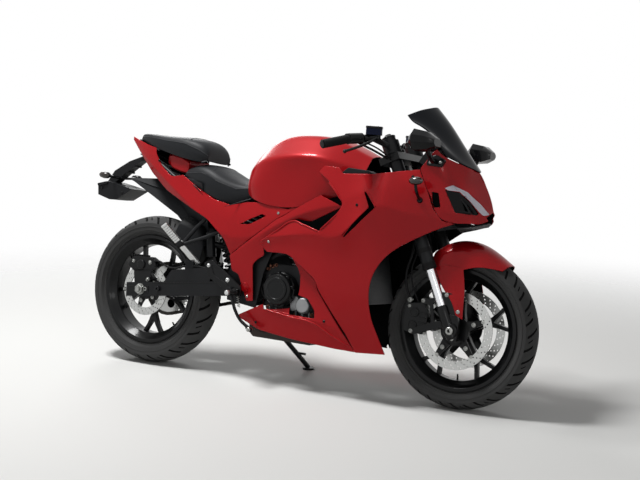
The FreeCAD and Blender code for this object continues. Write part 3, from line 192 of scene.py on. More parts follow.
def make_materials():
    """Every material, by what it is."""
    finish = bpy.context.scene.bike_finish
    table = {
        # metallic flake under a clear lacquer: deep red with sharp white reflections
        "candy_red_lacquer": dict(colour=finish.paint, metallic=0.15, roughness=0.33, spread=0.06, size=1.2,
                                  tint=0.25, Specular_IOR_Level=0.08, Coat_Weight=0.2, Coat_Roughness=0.03),
        # moulded ABS with a fine spark grain: dull black
        "grained_abs": dict(colour=finish.trim, roughness=0.55, size=1.0, bump=0.12, spread=0.1,
                            Specular_IOR_Level=0.15),
        # unpainted inner face of the panels: dark and matt
        "raw_abs": dict(colour="08090a", roughness=0.8, size=2.0, spread=0.1, Specular_IOR_Level=0.05),
        # gloss moulded ABS of mirrors and lamp housings
        "gloss_abs": dict(colour="08090b", roughness=0.24, size=3.0, spread=0.06, Coat_Weight=0.1,
                          Specular_IOR_Level=0.12),
        # cast aluminium under gloss black powder coat
        "powder_coated_alloy": dict(colour="0a0b0c", roughness=0.32, size=1.5, bump=0.02, spread=0.08,
                                    Coat_Weight=0.1, Specular_IOR_Level=0.15),
        # cast aluminium crankcase under dark grey paint
        "painted_crankcase": dict(colour="1b1c1e", roughness=0.55, size=1.2, bump=0.08, spread=0.12,
                                  Specular_IOR_Level=0.2),
        # welded steel under satin black enamel
        "satin_enamel": dict(colour="121315", roughness=0.42, size=2.5, bump=0.02, spread=0.1,
                             Specular_IOR_Level=0.18),
        # vulcanised rubber, slightly dusty
        "tyre_rubber": dict(colour="464646", roughness=0.8, size=2.0, bump=0.1, spread=0.14, tint=0.3,
                            Specular_IOR_Level=0.15),
        # the same rubber coloured near black in the grooves: painted shade in the recesses
        "groove_shade_rubber": dict(colour="070707", roughness=0.85, size=2.0, bump=0.1, spread=0.1,
                              Specular_IOR_Level=0.1),
        # soft moulded rubber of grips and peg sleeves: matt
        "grip_rubber": dict(colour="0e0e0f", roughness=0.7, size=1.0, bump=0.1, Specular_IOR_Level=0.15),
        # stainless brake discs with turned scratches
        "ground_stainless": dict(colour="b9bab8", metallic=1.0, roughness=0.3, size=0.6, bump=0.02, spread=0.16),
        # mirror-bright plating of the fork tubes
        "hard_chrome": dict(colour="dcdde0", metallic=1.0, roughness=0.12, size=3.0, spread=0.05, tint=0.04),
        # zinc plate of nuts and screws: satin
        "zinc_plated_steel": dict(colour="9b9c99", metallic=1.0, roughness=0.32, size=1.0, spread=0.1),
        # dark steel under an oil film, dull and bright in patches
        "oiled_chain_steel": dict(colour="4a4844", metallic=1.0, roughness=0.45, size=1.0, spread=0.2, tint=0.4),
        # bare casting: dull and slightly rough
        "cast_aluminium": dict(colour="8f9192", metallic=1.0, roughness=0.5, size=1.2, bump=0.08, spread=0.15),
        # machined and tumbled: pale and even
        "tumbled_aluminium": dict(colour="c8c9c8", metallic=1.0, roughness=0.42, size=1.0, bump=0.02, spread=0.1),
        # synthetic leather with a pebbled grain
        "seat_leather": dict(colour=finish.seat, roughness=0.5, size=1.6, bump=0.1, pattern="cells", tint=0.3,
                             Specular_IOR_Level=0.18),
        # waxed thread: matt
        "seat_thread": dict(colour="26282b", roughness=0.8, size=0.5, bump=0.1),
        # tinted acrylic, near black
        "smoked_acrylic": dict(colour="03070f", roughness=0.1, size=5.0, spread=0.03, Specular_IOR_Level=0.12),
        # dark tinted lens that lets some light through: glossy
        "smoked_polycarbonate": dict(colour="0a0b0d", roughness=0.08, size=5.0, spread=0.03,
                                     Specular_IOR_Level=0.2, Transmission_Weight=0.25, IOR=1.3),
        # white diffusing lens: glossy
        "milky_polycarbonate": dict(colour="cfcad8", roughness=0.18, size=4.0, spread=0.05, Coat_Weight=1.0),
        # deep red lens: glossy
        "red_polycarbonate": dict(colour="5c0508", roughness=0.12, size=4.0, spread=0.04, Coat_Weight=1.0),
        # brown tinted lens of the direction lamps: glossy
        "smoked_lens": dict(colour="1c0f06", roughness=0.2, size=4.0, spread=0.04, Coat_Weight=0.2),
        # blue-black glass: smooth
        "display_glass": dict(colour="081230", roughness=0.2, size=4.0, spread=0.03, Specular_IOR_Level=0.1),
        # silvered glass
        "mirror_glass": dict(colour="c9cdd0", metallic=1.0, roughness=0.03, size=9.0, spread=0.01, tint=0.02),
        # bare steel browned by heat
        "heat_stained_steel": dict(colour="3a3634", metallic=1.0, roughness=0.5, size=3.0, spread=0.2, tint=0.3),
        # copper-coloured plating: satin
        "copper_bolt": dict(colour="7d5545", metallic=1.0, roughness=0.4, size=1.0, spread=0.1),
        # extruded rubber: half matt
        "black_rubber_hose": dict(colour="0f0f10", roughness=0.6, size=1.5, bump=0.05, Specular_IOR_Level=0.15),
    }
    return {name: make_material(name, **settings) for name, settings in table.items()}


MATERIALS = {}              # filled once, when a material is first asked for


def finishes(*names):
    """Materials by name, made when they are first asked for."""
    if not MATERIALS:
        MATERIALS.update(make_materials())
    return [MATERIALS[name] for name in names]


# Mesh helpers, in millimetres of the upright machine

def temporary(bm, *materials):
    """An object for modifiers to work on."""
    mesh = bpy.data.meshes.new("temporary")
    bm.to_mesh(mesh)
    bm.free()
    for m in materials:
        mesh.materials.append(m)
    obj = bpy.data.objects.new("temporary", mesh)
    bpy.context.scene.collection.objects.link(obj)
    return obj


def baked(obj):
    """The evaluated mesh of a temporary object, which is then removed."""
    bpy.context.view_layer.update()
    bm = bmesh.new()
    bm.from_object(obj, bpy.context.evaluated_depsgraph_get())
    bpy.data.objects.remove(obj)
    return bm


def add_piece(name, bm, body, materials, replaces=(), bevel=0.0, segments=2, smooth=35, angle=35):
    """Puts a mesh on a CAD body as a finished piece; bevel is in millimetres."""
    bm.transform(STANCE)
    mesh = bpy.data.meshes.new(name)
    bm.to_mesh(mesh)
    bm.free()
    for m in finishes(*materials):
        mesh.materials.append(m)
    mesh.polygons.foreach_set("use_smooth", [True] * len(mesh.polygons))
    obj = bpy.data.objects.new(name, mesh)
    bpy.context.scene.collection.objects.link(obj)
    if bevel:
        edge = obj.modifiers.new("edge", "BEVEL")
        edge.width, edge.segments, edge.limit_method = bevel * MM, segments, "ANGLE"
        edge.angle_limit, edge.use_clamp_overlap = math.radians(angle), False
        obj.modifiers.new("normals", "WEIGHTED_NORMAL").keep_sharp = True
    else:
        mesh.set_sharp_from_angle(angle=math.radians(smooth))
    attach(obj, body)
    if replaces:
        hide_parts(*replaces)
    return obj


def add_tube(name, bm, body, material="black_rubber_hose"):
    """Puts hoses, wires or springs on a CAD body."""
    return add_piece(name, bm, body, [material], smooth=60)


def dress(node, material):
    """Gives a kept CAD node its finish and rounded edges."""
    obj = frame["nodes"][node]
    obj.data.materials.clear()
    obj.data.materials.append(finishes(material)[0])
    obj.data.polygons.foreach_set("use_smooth", [True] * len(obj.data.polygons))
    obj.modifiers.new("weld", "WELD").merge_threshold = WELD * MM
    edge = obj.modifiers.new("edge", "BEVEL")
    edge.width, edge.segments, edge.limit_method = KEPT_EDGE * MM, 2, "ANGLE"
    edge.angle_limit, edge.use_clamp_overlap = math.radians(35), True
    obj.modifiers.new("normals", "WEIGHTED_NORMAL").keep_sharp = True


def joined(*parts):
    """Several meshes as one."""
    whole = parts[0]
    for part in parts[1:]:
        mesh = bpy.data.meshes.new("part")
        part.to_mesh(mesh)
        part.free()
        whole.from_mesh(mesh)
        bpy.data.meshes.remove(mesh)
    return whole


def mirrored(bm):
    """The other side's twin of a mesh."""
    twin = bm.copy()
    bmesh.ops.scale(twin, vec=(1, -1, 1), verts=twin.verts)
    bmesh.ops.reverse_faces(twin, faces=twin.faces)
    return twin


def both(bm):
    """A right-hand mesh with its left-hand twin."""
    return joined(bm, mirrored(bm))


def layered(*groups):
    """Lists of meshes as one mesh, each list with the material of its place."""
    whole = [joined(*group) for group in groups]
    for k, bm in enumerate(whole):
        for face in bm.faces:
            face.material_index = k
    return joined(*whole)


def turns(part, whole):
    """A share of a full turn, as an angle."""
    return 2 * math.pi * part / whole


def around(centre, radius, angle, y=0.0):
    """A point at a radius and an angle from a centre in the side view, and y further across."""
    return Vector(centre) + Vector((radius * math.cos(angle), y, radius * math.sin(angle)))


def rounded(points, cut):
    """An outline of (x, z) or (x, z, own cut) points with its corners rounded."""
    made = []
    count = len(points)
    for k, p in enumerate(points):
        corner, before, after = Vector(p[:2]), Vector(points[k - 1][:2]), Vector(points[(k + 1) % count][:2])
        own = p[2] if len(p) > 2 else cut
        if own < 0.05:
            made.append(corner)
            continue
        a = min(own, (before - corner).length * 0.49)
        b = min(own, (after - corner).length * 0.49)
        start = corner + (before - corner).normalized() * a
        end = corner + (after - corner).normalized() * b
        steps = max(2, min(ARC_STEPS, int(max(a, b) / ARC_STEP)))
        for s in range(steps + 1):
            t = s / steps
            made.append(start * (1 - t) ** 2 + corner * (2 * t * (1 - t)) + end * t * t)
    return made


def prism(points, y0, y1, cut=0.0):
    """A side-view outline extruded from y0 to y1."""
    bm = bmesh.new()
    face = bm.faces.new([bm.verts.new((p.x, y0, p.y)) for p in rounded(points, cut)])
    grown = bmesh.ops.extrude_face_region(bm, geom=[face])
    bmesh.ops.translate(bm, vec=(0, y1 - y0, 0), verts=[v for v in grown["geom"]
                                                        if isinstance(v, bmesh.types.BMVert)])
    bmesh.ops.recalc_face_normals(bm, faces=bm.faces)
    return bm


def sketch(points, cut, depth, origin, across, up):
    """An outline in any plane, given by two directions, extruded by depth towards up x across."""
    bm = prism(points, 0, depth, cut)
    normal = up.cross(across)
    bm.transform(Matrix.Translation(origin) @ Matrix((across, normal, up)).transposed().to_4x4())
    bmesh.ops.recalc_face_normals(bm, faces=bm.faces)
    return bm


def rod(start, end, radius, end_radius=None, segments=24):
    """A round bar or cone between two points."""
    start, end = Vector(start), Vector(end)
    bm = bmesh.new()
    turn = (end - start).to_track_quat("Z", "Y").to_matrix().to_4x4()
    bmesh.ops.create_cone(bm, cap_ends=True, segments=segments, radius1=radius,
                          radius2=radius if end_radius is None else end_radius, depth=(end - start).length,
                          matrix=Matrix.Translation((start + end) / 2) @ turn)
    return bm


def turned(profile, start, end_direction, steps=48):
    """A closed profile of (along, r) points turned about a line from start."""
    bm = bmesh.new()
    ring = [bm.verts.new((r, 0, along)) for along, r in profile]
    edges = [bm.edges.new((ring[k - 1], ring[k])) for k in range(len(ring))]
    bmesh.ops.spin(bm, geom=edges, cent=(0, 0, 0), axis=(0, 0, 1), angle=2 * math.pi, steps=steps, use_merge=True,
                   use_duplicate=False)
    turn = Vector(end_direction).to_track_quat("Z", "X").to_matrix().to_4x4()
    bm.transform(Matrix.Translation(start) @ turn)
    bmesh.ops.recalc_face_normals(bm, faces=bm.faces)
    return bm


def lathed(profile, at, direction, steps=48):
    """A turned piece without a hole: its profile of (along, r) points is closed on the axis."""
    return turned([(profile[0][0], CORE), *profile, (profile[-1][0], CORE)], at, direction, steps)


def puck(at, direction, radius, low, high, steps=24):
    """A plain disc or pin from low to high along a line from at."""
    return lathed([(low, radius), (high, radius)], at, direction, steps)


def wheel_part(profile, centre, steps=144):
    """A closed profile of (y, r) points turned about an axle."""
    return turned(profile, centre, (0, 1, 0), steps)


def hose(points, radius, sides=3, smooth=True):
    """A round tube through points, in an even curve or mitred."""
    curve = bpy.data.curves.new("path", "CURVE")
    curve.dimensions, curve.bevel_depth, curve.bevel_resolution, curve.use_fill_caps = "3D", radius, sides, True
    line = curve.splines.new("BEZIER" if smooth else "POLY")
    if smooth:
        line.bezier_points.add(len(points) - 1)
        for knot, p in zip(line.bezier_points, points):
            knot.co, knot.handle_left_type, knot.handle_right_type = p, "AUTO", "AUTO"
        line.resolution_u = HOSE_STEPS
    else:
        line.points.add(len(points) - 1)
        for knot, p in zip(line.points, points):
            knot.co = (*p, 1)
    obj = bpy.data.objects.new("path", curve)
    bpy.context.scene.collection.objects.link(obj)
    graph = bpy.context.evaluated_depsgraph_get()
    mesh = bpy.data.meshes.new_from_object(obj.evaluated_get(graph), depsgraph=graph)
    bm = bmesh.new()
    bm.from_mesh(mesh)
    bpy.data.meshes.remove(mesh)
    bpy.data.objects.remove(obj)
    bmesh.ops.remove_doubles(bm, verts=bm.verts, dist=WELD)
    bmesh.ops.recalc_face_normals(bm, faces=bm.faces)
    return bm


def loft(sections):
    """A closed solid through sections with equal point counts."""
    bm = bmesh.new()
    loops = [[bm.verts.new(p) for p in section] for section in sections]
    edges = [[bm.edges.new((ring[k - 1], ring[k])) for k in range(len(ring))] for ring in loops]
    for a, b in zip(edges, edges[1:]):
        bmesh.ops.bridge_loops(bm, edges=a + b)
    for ring in (loops[0], loops[-1]):
        bm.faces.new(ring)
    bmesh.ops.recalc_face_normals(bm, faces=bm.faces)
    return bm


def bolt(at, direction, radius, height=None, washer=True):
    """A button-head socket bolt on a washer."""
    at, direction = Vector(at), Vector(direction).normalized()
    h = height or radius * 0.7
    profile = [(0, radius), (h * 0.5, radius), (h, radius * 0.62), (h, radius * 0.38), (h * 0.4, radius * 0.3)]
    parts = [lathed(profile, at, direction, 12)]
    if washer:
        parts.append(puck(at, direction, radius * 1.3, -0.6, 0.5, 16))
    return joined(*parts)


class Builder:
    """What every group's operator shares."""

    def execute(self, context):
        self.build(context.scene.bike_sizes)
        return {"FINISHED"}


# Moulded skins: a smooth sheet through a grid of points, cut to its outline

def sheet(points, creases, outward, levels=None):
    """A subdivided sheet that passes through a grid of points. creases are (way, index, sharpness) rows."""
    rows, columns = len(points), len(points[0])
    bm = bmesh.new()
    bmesh.ops.create_grid(bm, x_segments=columns - 1, y_segments=rows - 1, size=1)
    bm.verts.index_update()
    place = {}
    for v in bm.verts:
        place[v.index] = (round((v.co.y + 1) / 2 * (rows - 1)), round((v.co.x + 1) / 2 * (columns - 1)))
    targets = [Vector(points[i][j]) for i, j in (place[k] for k in range(len(bm.verts)))]
    bm.verts.ensure_lookup_table()
    for v in bm.verts:
        v.co = targets[v.index]
    layer = bm.edges.layers.float.new("crease_edge")
    for edge in bm.edges:
        (i0, j0), (i1, j1) = (place[v.index] for v in edge.verts)
        for way, index, sharpness in creases:
            if (way == "row" and i0 == i1 == index) or (way == "column" and j0 == j1 == index):
                edge[layer] = sharpness
    bm.normal_update()
    if sum((f.normal for f in bm.faces), Vector()).dot(Vector(outward)) < 0:
        bmesh.ops.reverse_faces(bm, faces=bm.faces)
    obj = temporary(bm)
    smooth = obj.modifiers.new("smooth", "SUBSURF")
    smooth.levels = smooth.render_levels = levels or bpy.context.scene.bike_sizes.levels
    smooth.boundary_smooth = "PRESERVE_CORNERS"
    for _ in range(FIT_ROUNDS):
        bpy.context.view_layer.update()
        reached = obj.evaluated_get(bpy.context.evaluated_depsgraph_get()).data
        offsets = [t - reached.vertices[k].co for k, t in enumerate(targets)]
        for v, offset in zip(obj.data.vertices, offsets):
            v.co += offset
    return obj


def add_wall(obj, wall, inside=1):
    """Gives a sheet its wall, on the side away from its faces. inside is the inner face's material number."""
    mod = obj.modifiers.new("wall", "SOLIDIFY")
    mod.thickness, mod.offset, mod.use_even_offset = wall, -1, True
    mod.material_offset = inside
    for m in finishes("candy_red_lacquer", "raw_abs"):
        obj.data.materials.append(m)


def cut_by(bm, cutter):
    """A closed mesh less another."""
    tool = temporary(cutter)
    obj = temporary(bm)
    mod = obj.modifiers.new("cut", "BOOLEAN")
    mod.operation, mod.object, mod.solver = "DIFFERENCE", tool, "MANIFOLD"
    made = baked(obj)
    bpy.data.objects.remove(tool)
    return made


SKINS = {}                  # each finished panel's surface, by its name


def on_skin(panel, x, z):
    """A right-hand panel's outer face at a place in the side view, and the way that it faces."""
    place, normal, _, _ = SKINS[panel].ray_cast(Vector((x, BESIDE, z)), Vector((0, 1, 0)))
    if place is None:
        place, normal, _, _ = SKINS[panel].find_nearest(Vector((x, -190, z)))
    return place, normal


def resample(points, count):
    """Points at even shares along a broken line."""
    points = [Vector(p) for p in points]
    lengths = [(b - a).length for a, b in zip(points, points[1:])]
    total = sum(lengths)
    made = []
    for k in range(count):
        rest = total * k / (count - 1)
        for a, b, length in zip(points, points[1:], lengths):
            if rest <= length + 1e-6:
                break
            rest -= length
        made.append(a + (b - a) * min(1, rest / length))
    return made


def cut_sheet(obj, outline, holes, cut, side=RIGHT_HALF):
    """Trims a walled sheet to a side-view outline and opens its holes, as one baked mesh."""
    cutters = []
    for operation, points in [("INTERSECT", outline)] + [("DIFFERENCE", hole) for hole in holes]:
        cutter = temporary(prism(points, *side, cut))
        cutter.data.materials.append(finishes("candy_red_lacquer")[0])
        mod = obj.modifiers.new("trim", "BOOLEAN")
        mod.operation, mod.object, mod.solver = operation, cutter, "MANIFOLD"
        cutters.append(cutter)
    bm = baked(obj)
    for cutter in cutters:
        bpy.data.objects.remove(cutter)
    return bm


def right_side(columns, rows):
    """Points of a right-hand skin from rows of (z, half width)."""
    return [[(x, -h, z) for x, (z, h) in zip(columns, row)] for row in rows]


def right_half(rows):
    """Points of a skin's right-hand half from its rows of (x, half width, z)."""
    return [[(x, -h, z) for x, h, z in row] for row in rows]


def full_width(rows):
    """Points of a skin from its half rows of (x, half width, z), listed from the middle out."""
    return [[(x, -h, z) for x, h, z in reversed(row)] + [(x, h, z) for x, h, z in row[1:]] for row in rows]


FAIRING_COLUMNS = (590, 760, 880, 980, 1100, 1200, 1300, 1400)
FAIRING_SKIN = [
    # rows from the foot up: (z, half width) at each column
    ((470, 150), (370, 162), (230, 160), (190, 155), (150, 146), (150, 140), (380, 135), (480, 105)),
    ((520, 168), (460, 180), (400, 186), (350, 185), (330, 182), (330, 176), (480, 150), (560, 110)),
    ((545, 174), (540, 188), (520, 196), (500, 197), (520, 198), (520, 184), (600, 148), (640, 106)),
    ((566, 180), (592, 198), (602, 210), (612, 217), (712, 221), (705, 196), (696, 151), (688, 104)),
    ((610, 174), (640, 187), (710, 197), (742, 201), (790, 197), (780, 181), (762, 148), (740, 98)),
    ((680, 156), (760, 164), (882, 163), (882, 164), (880, 160), (888, 150), (900, 130), (860, 96)),
]
FAIRING_OUTLINE = [
    (785, 868), (925, 858), (945, 836), (1069, 841), (1246, 868, 2), (1290, 776, 4), (1308, 728, 4), (1340, 688, 2),
    (1384, 680, 2), (1338, 661, 30), (1273, 625, 40), (1160, 552, 70), (1096, 452, 60), (1099, 330, 60),
    (1167, 180, 3), (1042, 172, 3), (1003, 238, 3), (882, 394, 20), (868, 430, 20), (738, 517, 25), (635, 517, 10),
    (604, 552, 6), (755, 650, 20), (880, 614, 4), (962, 700, 6), (968, 727, 6), (880, 812),
]
FAIRING_SLOT = [(1052, 772), (1060, 772), (1111, 717), (990, 598), (980, 606), (1085, 716)]

BELLY_COLUMNS = (480, 600, 740, 880, 1010, 1090)
BELLY_SKIN = [
    ((184, 62), (165, 60), (150, 60), (130, 60), (120, 60), (110, 60)),
    ((226, 118), (206, 130), (188, 138), (176, 140), (170, 140), (166, 136)),
    ((300, 134), (300, 150), (284, 158), (268, 160), (240, 158), (240, 150)),
    ((356, 133), (352, 149), (330, 152), (330, 160), (330, 160), (330, 150)),
    ((560, 133), (560, 150), (560, 162), (560, 162), (560, 160), (560, 150)),
]
BELLY_OUTLINE = [
    (503, 258, 3), (510, 244, 3), (603, 208, 10), (748, 190, 10), (947, 175, 10), (1038, 172, 3), (989, 236, 3),
    (867, 388, 15), (855, 424, 15), (738, 511, 4), (786, 450, 30), (788, 370, 30), (748, 308, 10), (632, 290, 4),
    (623, 311, 2),
]
BELLY_WINDOW = [(774, 364), (826, 352), (860, 310), (862, 280), (748, 284), (746, 312)]

FRAME_COVER_COLUMNS = (440, 560, 700, 850, 960)
FRAME_COVER_SKIN = [
    ((290, 132), (300, 137), (420, 142), (560, 150), (620, 150)),
    ((430, 138), (460, 146), (560, 152), (640, 160), (680, 160)),
    ((480, 140), (560, 156), (640, 166), (700, 171), (720, 167)),
    ((560, 132), (620, 146), (700, 154), (780, 158), (790, 156)),
]
FRAME_COVER_OUTLINE = [
    (447, 488, 4), (656, 642), (849, 751, 4), (950, 712, 4), (815, 646, 15), (755, 653, 8), (604, 557, 8),
    (612, 502, 8), (577, 480, 12), (560, 462, 12), (569, 318, 4), (539, 315, 4), (494, 417, 8), (460, 430, 8),
]

TAIL_COLUMNS = (-165, -60, 60, 200, 340, 470, 620, 860)
TAIL_SKIN = [
    ((900, 22), (800, 46), (700, 70), (600, 96), (520, 112), (440, 124), (560, 132), (700, 140)),
    ((930, 28), (860, 64), (780, 94), (690, 121), (600, 138), (560, 145), (600, 147), (720, 148)),
    ((945, 30), (900, 64), (830, 88), (735, 110), (670, 127), (640, 138), (650, 144), (740, 146)),
    ((975, 22), (960, 56), (900, 80), (800, 96), (730, 112), (720, 118), (760, 122), (800, 124)),
]
TAIL_OUTLINE = [
    (-162, 952, 2), (-60, 918), (-5, 905), (0, 880, 6), (42, 828, 15), (100, 788, 15), (160, 797), (244, 748),
    (337, 706), (421, 688), (500, 704), (556, 706), (700, 688), (836, 750, 3), (652, 645), (443, 490, 4),
    (410, 554, 20), (321, 625, 20), (72, 732), (-23, 801), (-93, 872), (-158, 936, 2),
]
TAIL_SLOT = [(484, 615), (528, 638), (582, 661), (601, 655), (530, 618)]

NOSE_ROWS = [
    # from the ridge and screen edge down to the chin: (x, half width, z) from the tip back to the seam
    [(1486, 0, 733), (1477, 0, 767), (1453, 0, 821), (1421, 0, 875), (1404, 40, 885), (1381, 72, 896),
     (1331, 118, 919), (1306, 150, 946)],
    [(1483, 25, 723), (1456, 55, 759), (1436, 74, 782), (1415, 88, 799), (1396, 102, 808), (1367, 118, 818),
     (1336, 132, 828), (1250, 152, 872)],
    [(1478, 32, 716), (1455, 57, 727), (1440, 74, 750), (1427, 86, 764), (1408, 102, 780), (1393, 112, 794),
     (1345, 132, 796), (1278, 148, 800)],
    [(1474, 36, 712), (1452, 62, 714), (1436, 78, 715), (1420, 92, 716), (1402, 106, 717), (1384, 118, 718),
     (1340, 136, 726), (1294, 146, 774)],
    [(1480, 28, 699), (1461, 60, 687), (1444, 76, 685), (1425, 88, 684), (1406, 100, 683), (1390, 112, 682),
     (1342, 132, 692), (1312, 142, 728)],
]
LAMP_OPENING = [(1344, 800), (1393, 794), (1427, 762), (1452, 724), (1448, 717), (1384, 720)]
SLIT_OPENING = [(1299, 790), (1322, 786), (1333, 736), (1311, 732), (1302, 752)]

SCREEN_ROWS = [
    [(1231, 0, 1112), (1222, 45, 1104), (1200, 85, 1091), (1168, 125, 1068)],
    [(1290, 0, 1048), (1276, 48, 1042), (1248, 92, 1030), (1206, 136, 1040)],
    [(1352, 0, 968), (1338, 46, 966), (1310, 92, 966), (1268, 138, 1008)],
    [(1424, 0, 877), (1407, 40, 887), (1384, 73, 898), (1334, 120, 921)],
]

NOSE_CREASES = [("row", 1, 0.8), ("row", 2, 0.8), ("row", 3, 0.9)]
NOSE_OUT = (1, -0.8, 0.3)   # roughly the way that its right-hand half faces

TANK = [
    # x, then (half width, z) from the middle out: top, deck edge, shoulder, side, foot
    (462, ((0, 812), (40, 808), (62, 792), (70, 768), (66, 748))),
    (480, ((0, 862), (54, 850), (84, 820), (94, 770), (88, 738))),
    (508, ((0, 896), (66, 884), (110, 842), (124, 775), (114, 726))),
    (560, ((0, 938), (74, 928), (134, 868), (140, 790), (136, 708))),
    (640, ((0, 976), (80, 968), (152, 886), (148, 812), (143, 695))),
    (750, ((0, 986), (84, 978), (164, 896), (153, 818), (148, 700))),
    (860, ((0, 974), (84, 966), (156, 890), (157, 825), (142, 735))),
    (960, ((0, 938), (74, 926), (126, 868), (140, 820), (124, 775))),
    (1010, ((0, 915), (66, 905), (110, 860), (120, 845), (112, 842))),
]

FILLER = (800, 0, 978)      # middle of the filler cap's ring

MUDGUARD_ROWS = [
    [(1290, 0, 580), (1290, 45, 572), (1292, 70, 548), (1298, 82, 516)],
    [(1340, 0, 610), (1340, 45, 600), (1338, 72, 570), (1334, 86, 522)],
    [(1404, 0, 622), (1404, 45, 610), (1400, 70, 578), (1396, 84, 512)],
    [(1484, 0, 604), (1482, 45, 592), (1478, 66, 565), (1470, 78, 530)],
    [(1577, 0, 545), (1574, 30, 541), (1568, 46, 534), (1560, 56, 524)],
]
MUDGUARD_LEG = [
    [(1300, 81, 532), (1360, 85, 528), (1418, 81, 524)],
    [(1345, 95, 452), (1390, 98, 448), (1434, 92, 446)],
    [(1388, 106.5, 404), (1411, 107.5, 400), (1438, 101, 398)],
    [(1412, 107.0, 352), (1424, 107.5, 346), (1440, 105, 338)],
]

RED = ("candy_red_lacquer", "raw_abs")      # outer and inner face of a panel


class BIKE_OT_side_panels(Builder, Operator):
    """Moulded side fairings, belly pans, frame covers and tail panels"""
    bl_idname = "bike.side_panels"
    bl_label = "Side panels"

    def build(self, sizes):
        edge = sizes.edge / MM
        table = (
            ("fairing", FAIRING_COLUMNS, FAIRING_SKIN, FAIRING_OUTLINE, [FAIRING_SLOT],
             [("row", 3, 0.9), ("row", 4, 0.5)]),
            ("belly", BELLY_COLUMNS, BELLY_SKIN, BELLY_OUTLINE, [BELLY_WINDOW], [("row", 2, 0.9), ("row", 1, 0.6)]),
            ("frame_cover", FRAME_COVER_COLUMNS, FRAME_COVER_SKIN, FRAME_COVER_OUTLINE, [], [("row", 2, 0.9)]),
            ("tail", TAIL_COLUMNS, TAIL_SKIN, TAIL_OUTLINE, [TAIL_SLOT], [("row", 1, 0.95), ("row", 2, 0.3)]),
        )
        for name, columns, rows, outline, holes, creases in table:
            skin = sheet(right_side(columns, rows), creases, OUT)
            add_wall(skin, WALL)
            right = cut_sheet(skin, outline, holes, 5)
            SKINS[name] = BVHTree.FromBMesh(right)
            left = mirrored(right)
            for side, bm in (("right", right), ("left", left)):
                add_piece(f"{name}_skin_{side}", bm, "chassis", RED, [f"{name}_{side}"], edge,
                          angle=SKIN_ANGLE)


class BIKE_OT_nose(Builder, Operator):
    """Nose cowl with its lamp and slit openings"""
    bl_idname = "bike.nose"
    bl_label = "Nose"

    def build(self, sizes):
        half = sheet(right_half(NOSE_ROWS), NOSE_CREASES, NOSE_OUT)
        add_wall(half, WALL)
        bm = cut_sheet(half, [(1200, 600), (1520, 600), (1520, 1000), (1200, 1000)], [LAMP_OPENING, SLIT_OPENING], 3,
                       (-300, 6))
        add_piece("nose_skin", both(bm), "chassis", RED, ["nose_fairing"], sizes.edge / MM,
                  angle=SKIN_ANGLE)


class BIKE_OT_screen(Builder, Operator):
    """Smoked windscreen"""
    bl_idname = "bike.screen"
    bl_label = "Windscreen"

    def build(self, sizes):
        obj = sheet(full_width(SCREEN_ROWS), [], (1, 0, 0.6))
        add_wall(obj, 4, 0)
        add_piece("screen", baked(obj), "chassis", ["smoked_acrylic"], ["windscreen"], 1.2,
                  angle=SKIN_ANGLE)


class BIKE_OT_tank(Builder, Operator):
    """Fuel tank with its filler cap"""
    bl_idname = "bike.tank"
    bl_label = "Fuel tank"

    def build(self, sizes):
        rows = full_width([[(x, h, z) for h, z in half] for x, half in TANK])
        creases = [("column", 2, 0.9), ("column", 6, 0.9), ("column", 3, 0.7), ("column", 5, 0.7)]
        obj = sheet(rows, creases, UP, 3)
        add_wall(obj, 3)
        add_piece("tank_shell", baked(obj), "chassis", RED, ["fuel_tank"], 1.2, angle=SKIN_ANGLE)
        ring = turned([(-6, 20), (-6, 40), (1, 40), (4, 37), (5, 31), (4, 29), (4, 20)], FILLER, UP)
        cap = lathed([(-6, 28.5), (3, 28.5), (6, 25), (6.5, 12)], FILLER, UP)
        screws = [bolt(Vector(FILLER) + Vector((34.5 * math.cos(a), 34.5 * math.sin(a), 4)), UP, 3, washer=False)
                  for a in (turns(k, 6) for k in range(6))]
        add_piece("filler_cap", layered([ring, *screws], [cap]), "chassis",
                  ["tumbled_aluminium", "powder_coated_alloy"], bevel=0.5)


class BIKE_OT_mudguard(Builder, Operator):
    """Front mudguard with its legs"""
    bl_idname = "bike.mudguard"
    bl_label = "Front mudguard"

    def build(self, sizes):
        top = sheet(full_width(MUDGUARD_ROWS), [("column", 1, 0.8), ("column", 5, 0.8)], (0.2, 0, 1))
        add_wall(top, WALL)
        leg = sheet(right_half(MUDGUARD_LEG), [("column", 1, 0.9)], OUT)
        add_wall(leg, WALL)
        add_piece("mudguard_skin", joined(baked(top), both(baked(leg))), "steering", RED, ["front_mudguard"],
                  1.0, angle=SKIN_ANGLE)


